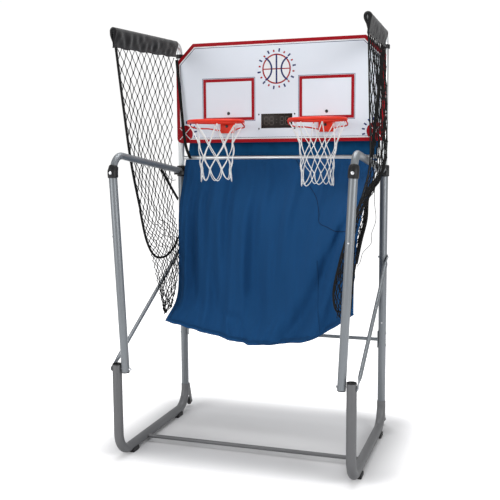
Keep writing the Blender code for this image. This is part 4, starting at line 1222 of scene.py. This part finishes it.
class MESH_OT_hoop_machine_hoop_nets(bpy.types.Operator):
    """Knot the two white hoop nets"""
    bl_idname = "mesh.hoop_machine_hoop_nets"
    bl_label = "Hoop nets"
    bl_options = {"REGISTER", "UNDO"}

    def execute(self, context):
        look = settings("hoop")
        white = grained("White net cord", look.cord, 0.75, 0.0, 0.10, 700.0, 0.05, bump=(0.5, 0.0008),
                        Sheen_Weight=0.2)
        for name, side in SIDES:
            slack = random.Random("net " + name)
            centre = Vector((side * HOOP_X, HOOP_Y, HOOP_Z))
            knots = [[self.knot(centre, radius, height * (NET_DROP[name] if row else 1),
                                index + 0.5 * (row % 2) + 0.5, slack if row else None)
                      for index in range(look.hooks)]
                     for row, (radius, height) in enumerate(NET_ROWS)]
            lines = []
            thick = []
            for row in range(3):
                shift = -1 if row % 2 == 0 else 1
                for index in range(look.hooks):
                    for target in (index, (index + shift) % look.hooks):
                        line = self.strand(centre, knots[row][index], knots[row + 1][target],
                                           row, slack)
                        lines.append(line)
                        thick.append(knotted(line))
            for index in range(look.hooks):
                after = (index + 1) % look.hooks
                line = self.loop(knots[3][index], knots[4][after], knots[3][after])
                lines.append(line)
                thick.append(knotted(line))
            net = cords("hoop_net_%s_finished" % name, lines, look.cord_r, white, 1, thick)
            stand_for(net, "hoop_net_" + name)
        return {"FINISHED"}

    def knot(self, centre, radius, height, turns, slack):
        """Place of one knot, a little off its even place."""
        angle = 2 * math.pi * turns / settings("hoop").hooks
        if slack:
            angle += slack.uniform(-0.10, 0.10)
            height += slack.uniform(-0.006, 0.006)
            radius += slack.uniform(-0.004, 0.003)
        return centre + Vector((radius * math.cos(angle), radius * math.sin(angle), height))

    def strand(self, centre, start, end, row, slack):
        """Cord between two knots, bowed a little outward."""
        line = []
        near, far = ((Vector((knot.x, knot.y, 0)) - Vector((centre.x, centre.y, 0))).length
                     for knot in (start, end))
        swell = (0.008 if row == 0 else 0.004) + slack.uniform(-0.002, 0.002)
        for step in range(7):
            share = step / 6
            point = start.lerp(end, share)
            ray = Vector((point.x - centre.x, point.y - centre.y, 0))
            target = near * (1 - share) + far * share
            bow = math.sin(math.pi * share)
            pull = -0.10 * (start - end).length * bow if row == 0 else 0
            ray = ray.normalized() * (target + swell * bow + pull)
            line.append(Vector((centre.x + ray.x, centre.y + ray.y, point.z)))
        return line

    def loop(self, start, low, end):
        """Hanging loop at the net's lower edge."""
        points = [start, start.lerp(low, 0.62) + (start - end) * 0.14, low,
                  end.lerp(low, 0.62) + (end - start) * 0.14, end]
        return curve_line(points, 13)


# ------------------------------------------------------------------ cloth

def hung(x, forward, share):
    """Place by x, distance in front of the uprights and share of the crossbar's height."""
    return Vector((x, REAR_Y - forward, BAR_Z * share))


SHEET_COLUMNS, SHEET_ROWS = 171, 141
UNDER_BAR = (BAR_Z - 0.0098) / BAR_Z
SHEET_LEFT = curve_line([hung(0.034 - HALF, 0.020, UNDER_BAR), hung(0.030 - HALF, 0.042, 0.924),
                         hung(0.004 - HALF, 0.052, 0.796), hung(0.001 - HALF, 0.060, 0.604),
                         hung(0.004 - HALF, 0.105, 0.469), hung(0.005 - HALF, 0.265, 0.398)],
                        SHEET_ROWS)
SHEET_RIGHT = curve_line([hung(HALF - 0.038, 0.020, UNDER_BAR), hung(HALF - 0.035, 0.090, 0.938),
                          hung(HALF - 0.033, 0.300, 0.860), hung(HALF - 0.050, 0.420, 0.753),
                          hung(HALF - 0.070, 0.400, 0.597), hung(HALF - 0.080, 0.360, 0.4726)],
                         SHEET_ROWS)
SHEET_TOP = curve_line([SHEET_LEFT[0], hung(-0.30, 0.006, UNDER_BAR), hung(0, 0.003, UNDER_BAR),
                        hung(0.30, 0.006, UNDER_BAR), SHEET_RIGHT[0]], SHEET_COLUMNS)
SHEET_BOTTOM = curve_line([SHEET_LEFT[-1], hung(-0.28, 0.240, 0.348), hung(-0.02, 0.220, 0.327),
                           hung(0.25, 0.270, 0.366), SHEET_RIGHT[-1]], SHEET_COLUMNS)
CREASES = (
    # start share (across, down), end share, width, depth
    ((0.96, 0.30), (0.46, 1.04), 0.070, 1.20),
    ((0.96, 0.42), (0.58, 1.04), 0.046, -0.80),
    ((0.96, 0.52), (0.68, 1.04), 0.046, 0.90),
    ((0.96, 0.62), (0.80, 1.04), 0.036, -0.50),
    ((0.30, 0.20), (0.33, 0.80), 0.030, 0.60),
    ((0.45, 0.05), (0.42, 0.70), 0.028, -0.55),
    ((0.15, 0.30), (0.19, 0.95), 0.040, -0.60),
    ((0.06, 0.10), (0.03, 1.02), 0.016, 0.60),
    ((0.28, 0.83), (0.33, 1.00), 0.012, 0.32),
    ((0.37, 0.86), (0.40, 1.00), 0.012, -0.34),
    ((0.46, 0.86), (0.43, 1.00), 0.012, 0.36),
    ((0.56, 0.84), (0.50, 1.00), 0.012, -0.34),
    ((0.68, 0.88), (0.60, 1.00), 0.012, 0.30),
)


# the string's way over the sheet, as shares across and down
STRING_ROUTE = ((0.575, 0.00), (0.61, 0.12), (0.64, 0.22), (0.695, 0.32), (0.722, 0.40),
                (0.735, 0.452), (0.79, 0.485), (0.86, 0.53), (0.93, 0.56))


def crease(u, v, start, end, width, depth):
    """Depth of one long soft crease at a place of the sheet."""
    run_u, run_v = end[0] - start[0], end[1] - start[1]
    share = ((u - start[0]) * run_u + (v - start[1]) * run_v) / (run_u ** 2 + run_v ** 2)
    share = min(max(share, 0.0), 1.0)
    away = math.hypot(u - start[0] - share * run_u, v - start[1] - share * run_v)
    return depth * math.exp(-(away / (width * (0.5 + share))) ** 2) * (0.35 + 0.65 * share)


def on_sheet(u, v, lift=0.0):
    """Place on the return sheet for a share across and down, lifted off its front."""
    row, column = v * (SHEET_ROWS - 1), u * (SHEET_COLUMNS - 1)
    left, right = between(SHEET_LEFT, row), between(SHEET_RIGHT, row)
    top, bottom = between(SHEET_TOP, column), between(SHEET_BOTTOM, column)
    flat = (left.lerp(right, u) + top.lerp(bottom, v)
            - SHEET_TOP[0].lerp(SHEET_TOP[-1], u).lerp(SHEET_BOTTOM[0].lerp(SHEET_BOTTOM[-1], u), v))
    depth = settings("soft").fold_depth
    fall = min(1.0, v * 3.0)
    soft = (0.30 * math.sin(2 * math.pi * (5.2 * u + 0.30 * v) + 0.6)
            + 0.24 * math.sin(2 * math.pi * (8.7 * u - 0.75 * v) + 2.1 + 0.8 * math.sin(4 * v))
            + 0.12 * math.sin(2 * math.pi * (15.5 * u + 0.4 * v) + 0.9))
    gather = (0.16 * math.sin(2 * math.pi * 23 * u + 1.1 * math.sin(9 * u))
              * math.exp(-(v / 0.10) ** 2))
    calm = 1 - 0.8 * min(max((u + v - 0.95) / 0.5, 0.0), 1.0)
    total = soft * (0.30 + 0.70 * fall) * calm + gather
    total += fall * sum(crease(u, v, *line) for line in CREASES)
    edge = min(1.0, 8 * v + 0.12) * min(1.0, 0.35 + 12 * u) * min(1.0, 0.35 + 12 * (1 - u))
    return flat + Vector((0.15, -1.0, 0.0)) * (total * depth * edge + lift)


def between(line, place):
    """Point between two neighbours of an even line."""
    index = min(int(place), len(line) - 2)
    return line[index].lerp(line[index + 1], place - index)


def net_black():
    """Black cord of the side nets."""
    return grained("Black net cord", settings("soft").net, 0.85, 0.0, 0.2, 600.0, bump=None,
                   Specular_IOR_Level=0.15)


class MESH_OT_hoop_machine_sheet(bpy.types.Operator):
    """Hang the blue return sheet, gathered forward on its right side"""
    bl_idname = "mesh.hoop_machine_sheet"
    bl_label = "Return sheet"
    bl_options = {"REGISTER", "UNDO"}

    def execute(self, context):
        blue = woven("Blue sheet cloth", settings("soft").sheet)
        sheet = cloth("return_sheet_finished", SHEET_COLUMNS, SHEET_ROWS, on_sheet, SHEET_FLAT,
                      0.0014, blue)
        stand_for(sheet, "return_sheet")
        dark = woven("Blue hem", tuple(0.75 * share for share in settings("soft").sheet))
        hem_line = [on_sheet(0.004 + 0.992 * step / 160, 0.985, 0.0012) for step in range(161)]
        hem = ribbon("sheet_hem", hem_line, FRONT, 0.024, 0.0012, dark)
        seam_line = [on_sheet(0.755 + 0.035 * step / 60, 0.62 + 0.37 * step / 60, 0.0014)
                     for step in range(61)]
        seam = ribbon("sheet_seam", seam_line, FRONT, 0.0055, 0.0010, dark)
        side_line = [on_sheet(0.010, 0.01 + 0.97 * step / 90, 0.0012) for step in range(91)]
        side = ribbon("sheet_side_hem", side_line, FRONT, 0.018, 0.0010, dark)
        black = net_black()
        guide = curve_line([Vector((u, v, 0)) for u, v in STRING_ROUTE], 60)
        string = cords("sheet_string", [[on_sheet(p.x, max(p.y, 0.0), 0.0022) for p in guide]],
                       0.0011, black)
        for piece in (hem, seam, side, string):
            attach(piece, "frame")
        return {"FINISHED"}


class MESH_OT_hoop_machine_curtain(bpy.types.Operator):
    """Hang the blue curtain behind the score unit"""
    bl_idname = "mesh.hoop_machine_curtain"
    bl_label = "Rear curtain"
    bl_options = {"REGISTER", "UNDO"}

    def execute(self, context):
        low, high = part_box("rear_curtain")
        half = high.x
        rail = high.z
        bar_back = REAR_Y + 0.0118
        line = curve_line([Vector((0, middle("board_rail_lower").y + 0.0125, rail)),
                           Vector((0, REAR_Y + 0.027, rail - 0.030)),
                           Vector((0, REAR_Y + 0.027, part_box("score_housing")[0].z - 0.003)),
                           Vector((0, REAR_Y + 0.018, BAR_Z + 0.053)),
                           Vector((0, bar_back, BAR_Z)), Vector((0, bar_back + 0.001, low.z))], 61)

        def place(u, v):
            """Point of the curtain for a share across and down."""
            point = between(line, v * 60)
            free = math.sin(math.pi * min(1.0, v * 1.12)) ** 2
            wave = (0.5 + 0.5 * math.sin(2 * math.pi * (6.5 * u + 0.2 * v) + 0.4)
                    + 0.35 * math.sin(2 * math.pi * (13.2 * u - 0.5 * v) + 1.9)
                    + 0.25 * math.sin(2 * math.pi * (3.1 * u + 0.8 * v)))
            return Vector((half * (2 * u - 1), point.y + 0.0110 * max(wave, 0) * free, point.z))

        blue = woven("Blue curtain cloth", settings("soft").curtain)
        curtain = cloth("rear_curtain_finished", 161, 61, place, (2 * half, rail - low.z),
                        0.0012, blue)
        stand_for(curtain, "rear_curtain")
        return {"FINISHED"}


def arm_run(side):
    """Start and end of a sleeve along its net arm, and its direction."""
    forward = Vector((side * NET_ARM_RUN.x, NET_ARM_RUN.y, NET_ARM_RUN.z))
    corner = Vector((side * HALF, NET_ARM_CORNER.y, NET_ARM_CORNER.z))
    tangent = NET_ARM_BEND * math.tan(UP.angle(forward) / 2)
    ahead = forward.normalized()
    return corner + ahead * (tangent + 0.002), corner + forward * 1.0086, ahead


SLEEVE_TOP_R = 0.0166
SLEEVE_HANG = 0.0665


class MESH_OT_hoop_machine_sleeves(bpy.types.Operator):
    """Sew the black cloth sleeves that hang on the net arms"""
    bl_idname = "mesh.hoop_machine_sleeves"
    bl_label = "Arm sleeves"
    bl_options = {"REGISTER", "UNDO"}

    def execute(self, context):
        black = woven("Black sleeve cloth", settings("soft").sleeve, 1500.0, 0.35, (0.3, 0.0005), 0.3)
        for name, side in SIDES:
            start, end, forward = arm_run(side)
            across = Vector((-forward.y, forward.x, 0)).normalized() * side
            up = across.cross(forward) * side
            up = up if up.z > 0 else -up
            fold = random.Random("sleeve " + name)
            waves = [(fold.uniform(2, 13), fold.uniform(-3, 3), fold.uniform(0, 6.3),
                      fold.uniform(0.3, 1)) for _ in range(9)]
            around = 2 * SLEEVE_HANG + math.pi * SLEEVE_TOP_R

            def place(u, v):
                """Point of the sleeve for a share along the arm and round it."""
                hang = SLEEVE_HANG * (1.0 + 0.10 * u)
                reach = v * around
                if reach < SLEEVE_HANG or reach > around - SLEEVE_HANG:
                    hand = 1 if reach < SLEEVE_HANG else -1
                    rise = min(reach, around - reach) / SLEEVE_HANG
                    close = rise * rise * (3 - 2 * rise)
                    out, high = hand * (0.0022 + (SLEEVE_TOP_R - 0.0022) * close), -hang * (1 - rise)
                else:
                    turn = (reach - SLEEVE_HANG) / SLEEVE_TOP_R
                    hand = 1 if turn < math.pi / 2 else -1
                    rise = 1.0
                    out, high = SLEEVE_TOP_R * math.cos(turn), SLEEVE_TOP_R * math.sin(turn)
                pinch = 1 - 0.9 * max(0.0, (u - 0.9923) / 0.0077)
                out, high = out * pinch, high * (pinch if high > 0 else 1)
                rough = sum(depth * math.sin(a * 2 * math.pi * u + b * 6 * v + c)
                            for a, b, c, depth in waves)
                free = 4 * rise * (1 - rise) + 0.25
                sag = 0.0022 * math.sin(9 * math.pi * u + 1.0) * (1 - rise)
                return (start.lerp(end, u) + across * (out + hand * 0.0011 * rough * free)
                        + up * (high + sag + 0.0006 * rough * (1 - rise)))

            size = ((end - start).length, around)
            sleeve = cloth("net_sleeve_%s_finished" % name, 131, 41, place, size, 0.0009, black)
            stand_for(sleeve, "net_sleeve_" + name)
            hem = [place(step / 80, 0.015) - up * 0.001 for step in range(81)]
            edge = ribbon("sleeve_hem_" + name, hem, across, 0.007, 0.0062, black)
            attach(edge, "net_arm_%s_body" % name)
        return {"FINISHED"}


# ------------------------------------------------------------------ side nets

def net_place(side, out, forward, height):
    """Place by distance outside the uprights, distance in front of them and height."""
    return Vector((side * (HALF + out), REAR_Y - forward, height))


SIDE_NETS = {
    # front edge and rear edge of each net, as (out, forward, height)
    "left": (
        ((0.033, 0.672, 1.925), (0.030, 0.615, 1.650), (0.026, 0.555, 1.385), (0.016, 0.480, 1.140),
         (0.010, 0.430, 1.000), (0.006, 0.375, 0.880), (0.004, 0.320, 0.740), (0.003, 0.262, 0.610)),
        ((0.010, 0.060, 1.930), (0.020, 0.065, 1.650), (0.024, 0.080, 1.385), (0.018, 0.078, 1.140),
         (0.013, 0.035, 1.000), (0.007, 0.034, 0.880), (0.005, 0.080, 0.740), (0.004, 0.160, 0.610))),
    "right": (
        ((0.033, 0.672, 1.925), (0.030, 0.615, 1.650), (0.026, 0.565, 1.385), (0.000, 0.602, 1.234),
         (-0.030, 0.623, 1.135), (-0.070, 0.596, 1.040), (-0.100, 0.599, 0.928),
         (-0.115, 0.629, 0.812), (-0.115, 0.565, 0.687)),
        ((0.010, 0.060, 1.930), (0.020, 0.065, 1.650), (0.024, 0.085, 1.385), (-0.012, 0.169, 1.275),
         (-0.030, 0.282, 1.204), (-0.035, 0.282, 1.114), (-0.045, 0.359, 1.021),
         (-0.060, 0.399, 0.922), (-0.085, 0.388, 0.700))),
}
STRAP_ROWS = 23     # rows of half cells that the front strap edges, above the arm
OUTWARD = (1, 0)
UPPER_STRAP = (((-0.003, 0.052, 1.922), (-0.020, 0.056, 1.750), (-0.045, 0.058, 1.500),
                (-0.058, 0.034, 1.420), (-0.060, 0.013, 1.402)), 40, (0, -1), 0.017, 0.0026)
EDGES = {
    # places as (out, forward, height), where None is the end of the front strap, and points laid
    # through them; then a rope's radius and round steps, or a strap's facing, width and thickness
    "left": (
        ((None, (0.018, 0.482, 1.140), (0.013, 0.432, 1.000), (0.012, 0.345, 0.912),
          (0.012, 0.220, 0.892), (0.012, 0.110, 0.922), (0.008, 0.050, 0.975)), 60, 0.0060, 2),
        (((0.021, 0.225, 1.350), (0.014, 0.130, 1.262), (0.006, 0.045, 1.184)),
         20, OUTWARD, 0.020, 0.003),
        (((0.021, 0.160, 1.325), (0.020, 0.100, 1.290), (0.018, 0.045, 1.288)), 14, 0.0016, 1),
        UPPER_STRAP),
    "right": (
        ((None, (0.000, 0.602, 1.234), (-0.032, 0.625, 1.135), (-0.072, 0.598, 1.040),
          (-0.102, 0.601, 0.928), (-0.118, 0.631, 0.812), (-0.116, 0.567, 0.720),
          (-0.090, 0.460, 0.730), (-0.066, 0.402, 0.900), (-0.047, 0.360, 1.021),
          (-0.037, 0.284, 1.114), (-0.032, 0.284, 1.204), (-0.010, 0.170, 1.282)), 80, 0.0045, 2),
        (((-0.062, 0.410, 0.915), (-0.049, 0.368, 1.015), (-0.039, 0.290, 1.110),
          (-0.034, 0.290, 1.200), (-0.026, 0.270, 1.248)), 30, (0.4, -1), 0.020, 0.003),
        (((0.010, 0.052, 1.350), (-0.004, 0.180, 1.300), (-0.014, 0.366, 1.256),
          (-0.020, 0.516, 1.206), (-0.022, 0.640, 1.155)), 40, OUTWARD, 0.030, 0.003),
        (((0.008, 0.319, 1.271), (0.008, 0.326, 1.197), (0.008, 0.280, 1.111), (0.008, 0.396, 1.055),
          (0.008, 0.409, 1.011), (0.004, 0.586, 0.990), (0.004, 0.652, 0.957),
          (0.004, 0.720, 0.946)), 70, 0.0013, 1),
        UPPER_STRAP),
}


class MESH_OT_hoop_machine_side_nets(bpy.types.Operator):
    """Knot the black side nets, with their straps and edge ropes"""
    bl_idname = "mesh.hoop_machine_side_nets"
    bl_label = "Side nets"
    bl_options = {"REGISTER", "UNDO"}

    def execute(self, context):
        look = settings("soft")
        black = net_black()
        strap = grained("Black strap", look.net, 0.75, 0.0, 0.3, 500.0, bump=(0.4, 0.0005),
                        Specular_IOR_Level=0.15)
        for name, side in SIDES:
            front, rear = ([net_place(side, *place) for place in edge] for edge in SIDE_NETS[name])
            drop = sum((b - a).length for a, b in zip(front, front[1:]))
            rows = 2 * round(drop / look.cell_height)
            front = curve_line(front, rows + 1)
            rear = curve_line(rear, rows + 1)
            count = round((front[0] - rear[0]).length / look.cell_width)
            knots = self.knots(name, side, front, rear, count)
            lines = []
            thick = []
            for upper, lower in zip(knots, knots[1:]):
                line, share = self.zigzag(upper, lower)
                lines.append(line)
                thick.append(share)
            net = cords("side_net_%s_finished" % name, lines, look.cord_r, black, 0, thick)
            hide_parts("side_net_" + name)
            edge = ribbon("side_net_strap_" + name, front[:STRAP_ROWS + 1], Vector((side, 0, 0)),
                          look.strap, 0.0026, strap)
            for piece in (net, edge):
                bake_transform(piece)
            ropes = self.ropes(name, side, front, strap)
            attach(joined("side_net_ropes_" + name, ropes), "frame")
        return {"FINISHED"}

    def knots(self, name, side, front, rear, count):
        """Places of the net's knots, row by row, a little off their even places."""
        slack = random.Random("side net " + name)
        rows = []
        for row, (ahead, behind) in enumerate(zip(front, rear)):
            down = row / (len(front) - 1)
            shares = [index / count for index in range(count + 1)]
            if row % 2:
                shares = [(index + 0.5) / count for index in range(count)]
            line = []
            for share in shares:
                loose = min(1.0, 6 * share, 6 * (1 - share), 8 * down + 0.1)
                sag = 0.020 * math.sin(math.pi * share) * min(1.0, 4 * down)
                billow = 0.012 * math.sin(math.pi * share) * math.sin(2.4 * math.pi * down)
                shift = Vector((side * (billow + slack.uniform(-0.004, 0.004)),
                                slack.uniform(-0.007, 0.007), slack.uniform(-0.007, 0.007) - sag))
                line.append(ahead.lerp(behind, share) + shift * loose)
            rows.append(line)
        return rows

    def zigzag(self, upper, lower):
        """Cord that goes to and fro between two rows of knots."""
        even, odd = (upper, lower) if len(upper) > len(lower) else (lower, upper)
        stops = [point for pair in zip(even, odd) for point in pair] + [even[-1]]
        line = [stops[0]]
        thick = [1.9]
        for start, end in zip(stops, stops[1:]):
            for share, dip in ((0.12, 0.0), (0.5, 0.0026), (0.88, 0.0)):
                line.append(start.lerp(end, share) + Vector((0, dip * 0.6, -dip)))
                thick.append(1.0)
            line.append(end)
            thick.append(1.9)
        return line, thick

    def ropes(self, name, side, front, strap):
        """Edge rope of the mouth in the net, the straps and the drawstring."""
        parts = []
        for places, count, *size in EDGES[name]:
            line = curve_line([net_place(side, *place) if place else front[STRAP_ROWS]
                               for place in places], count)
            if len(size) == 2:
                parts.append(cords("net_rope", [line], size[0], strap, size[1]))
            else:
                (out, back), width, thickness = size
                parts.append(ribbon("net_strap", line, Vector((side * out, back, 0)), width,
                                    thickness, strap))
        return parts


# ------------------------------------------------------------------ stage

# steps from a place on the floor to its distance from a box round the machine; the floor glows only
# outside that box, so the box stays darker as a painted shadow
PAINTED_SHADOW_BOX_STEPS = (("SUBTRACT", (0.0, 0.10, 0.0)), ("ABSOLUTE", None), ("SUBTRACT", (0.50, 0.30, 0.0)),
              ("MAXIMUM", (0.0, 0.0, 0.0)), ("LENGTH", None))
CAMERA_PLACE = (1.1876, REAR_Y - 4.0755, 1.4124)
CAMERA_TURNS = (18.322, 6.626, -0.390)      # degrees to the left, down and tilted
CAMERA_LENS = 58.0968


class MESH_OT_hoop_machine_stage(bpy.types.Operator):
    """Set the pale floor, the soft studio lights and the camera"""
    bl_idname = "mesh.hoop_machine_stage"
    bl_label = "Stage"
    bl_options = {"REGISTER", "UNDO"}

    def execute(self, context):
        look = settings("stage")
        deselect()
        bpy.ops.mesh.primitive_grid_add(x_subdivisions=4, y_subdivisions=4, size=60)
        floor = named(bpy.context.object, "studio_floor", self.floor_material(look.floor, look.glow))
        self.world(look.ambient)
        self.lamp("key_light", (-2.9, -4.3, 2.5), (0, 0, 1.1), 3.0, look.key)
        self.lamp("side_light", (3.5, -2.0, 2.2), (0.2, 0, 1.1), 2.2, look.side)
        self.lamp("top_light", (0.0, 1.0, 4.4), (0, 0.05, 0), 2.8, look.top)
        self.camera(context.scene)
        context.scene.view_settings.view_transform = "Standard"
        return {"FINISHED"}

    def floor_material(self, tint, lift):
        """Pale floor that shows white to the camera far from the machine; its glow is held off in a
        box round the machine, a painted shadow, and the lamps' own shadow of the machine stays too.
        """
        material = bpy.data.materials.new("Pale floor")
        material.use_nodes = True
        tree = material.node_tree
        shader = tree.nodes["Principled BSDF"]
        shader.inputs["Roughness"].default_value = 0.9
        shader.inputs["Specular IOR Level"].default_value = 0.0
        place = node(tree, "ShaderNodeTexCoord", (-900, 0))
        grain = node(tree, "ShaderNodeTexNoise", (-700, 0), Scale=3.0, Detail=2.0)
        tree.links.new(place.outputs["Object"], grain.inputs["Vector"])
        factor = math_node(tree, (-500, 0), "MULTIPLY", grain.outputs[0], 0.04)
        deeper = tuple(0.93 * share for share in tint)
        tree.links.new(mixed(tree, (-300, 0), factor, tint, deeper), shader.inputs["Base Color"])
        step = place.outputs["Object"]
        for index, (operation, value) in enumerate(PAINTED_SHADOW_BOX_STEPS):
            away = node(tree, "ShaderNodeVectorMath", (-700 + 40 * index, -500), operation=operation)
            tree.links.new(step, away.inputs[0])
            if value:
                away.inputs[1].default_value = value
            step = away.outputs[0]
        # the glow rises from nothing at the box's edge, so the floor under the machine is left
        # darker: a painted shadow
        far = node(tree, "ShaderNodeMapRange", (-500, -500), interpolation_type="SMOOTHERSTEP")
        for name, value in (("From Min", 0.0), ("From Max", 0.5), ("To Min", 0.0), ("To Max", lift)):
            far.inputs[name].default_value = value
        tree.links.new(away.outputs["Value"], far.inputs["Value"])
        path = node(tree, "ShaderNodeLightPath", (-700, -300))
        both = math_node(tree, (-500, -300), "MAXIMUM", path.outputs["Is Camera Ray"],
                         path.outputs["Is Glossy Ray"])
        glow = math_node(tree, (-300, -300), "MULTIPLY", both, far.outputs["Result"])
        shader.inputs["Emission Color"].default_value = (1, 1, 1, 1)
        tree.links.new(glow, shader.inputs["Emission Strength"])
        return material

    def world(self, ambient):
        """White surroundings to the eye, and soft even light to the machine."""
        world = bpy.data.worlds.new("Studio")
        bpy.context.scene.world = world
        world.use_nodes = True
        tree = world.node_tree
        background = tree.nodes["Background"]
        background.inputs["Color"].default_value = (1, 1, 1, 1)
        path = node(tree, "ShaderNodeLightPath", (-900, 0))
        seen = math_node(tree, (-700, 0), "MAXIMUM", path.outputs["Is Camera Ray"],
                         path.outputs["Is Transmission Ray"])
        soft = math_node(tree, (-500, -100), "MULTIPLY", path.outputs["Is Glossy Ray"], 0.25)
        bright = math_node(tree, (-500, 100), "MULTIPLY", seen, 1.02 - ambient)
        total = math_node(tree, (-300, 0), "ADD", bright, soft)
        strength = math_node(tree, (-150, 0), "ADD", total, ambient)
        tree.links.new(strength, background.inputs["Strength"])

    def lamp(self, name, place, target, size, power):
        """Square soft light aimed at a point."""
        deselect()
        bpy.ops.object.light_add(type="AREA", location=place)
        lamp = bpy.context.object
        lamp.name = name
        lamp.data.size = size
        lamp.data.energy = power
        lamp.rotation_euler = (Vector(target) - Vector(place)).to_track_quat("-Z", "Y").to_euler()

    def camera(self, scene):
        """Camera at standing height, to the right of the machine."""
        deselect()
        bpy.ops.object.camera_add()
        camera = bpy.context.object
        yaw, pitch, roll = (math.radians(turn) for turn in CAMERA_TURNS)
        ahead = Vector((-math.sin(yaw) * math.cos(pitch), math.cos(yaw) * math.cos(pitch),
                        -math.sin(pitch)))
        right = Vector((math.cos(yaw), math.sin(yaw), 0))
        up = right.cross(ahead)
        tilted_right = right * math.cos(roll) + up * math.sin(roll)
        tilted_up = up * math.cos(roll) - right * math.sin(roll)
        turn = Matrix((tilted_right, tilted_up, -ahead)).transposed().to_4x4()
        camera.matrix_world = Matrix.Translation(CAMERA_PLACE) @ turn
        camera.data.sensor_width = 36.0
        camera.data.lens = CAMERA_LENS
        scene.camera = camera


# ------------------------------------------------------------------ add-on

SETTINGS = {"frame": HoopMachineFrameSettings, "board": HoopMachineBoardSettings,
            "hoop": HoopMachineHoopSettings, "soft": HoopMachineSoftSettings,
            "stage": HoopMachineStageSettings}
OPERATORS = (
    MESH_OT_hoop_machine_stage, MESH_OT_hoop_machine_tubes, MESH_OT_hoop_machine_small_parts,
    MESH_OT_hoop_machine_wheels, MESH_OT_hoop_machine_fasteners, MESH_OT_hoop_machine_board,
    MESH_OT_hoop_machine_print, MESH_OT_hoop_machine_display, MESH_OT_hoop_machine_hoops,
    MESH_OT_hoop_machine_hoop_nets, MESH_OT_hoop_machine_sheet, MESH_OT_hoop_machine_curtain,
    MESH_OT_hoop_machine_sleeves, MESH_OT_hoop_machine_side_nets,
)


class VIEW3D_PT_hoop_machine(bpy.types.Panel):
    """Lists the hoop machine's pieces and settings"""
    bl_idname = "VIEW3D_PT_hoop_machine"
    bl_label = "Basketball hoop machine"
    bl_space_type = "VIEW_3D"
    bl_region_type = "UI"
    bl_category = "Hoop machine"

    def draw(self, context):
        layout = self.layout
        for operator in OPERATORS:
            layout.operator(operator.bl_idname)
        for kind, group in SETTINGS.items():
            box = layout.box()
            box.label(text=kind.title())
            for name in group.__annotations__:
                box.prop(getattr(context.scene, "hoop_machine_" + kind), name)


CLASSES = (*SETTINGS.values(), *OPERATORS, VIEW3D_PT_hoop_machine)


def register():
    for made in CLASSES:
        bpy.utils.register_class(made)
    for kind, group in SETTINGS.items():
        setattr(bpy.types.Scene, "hoop_machine_" + kind, PointerProperty(type=group))


def unregister():
    for kind in SETTINGS:
        delattr(bpy.types.Scene, "hoop_machine_" + kind)
    for made in reversed(CLASSES):
        bpy.utils.unregister_class(made)


def main():
    """Make every piece."""
    register()
    for operator in OPERATORS:
        _, name = operator.bl_idname.split(".")
        getattr(bpy.ops.mesh, name)()


if __name__ == "__main__":
    main()
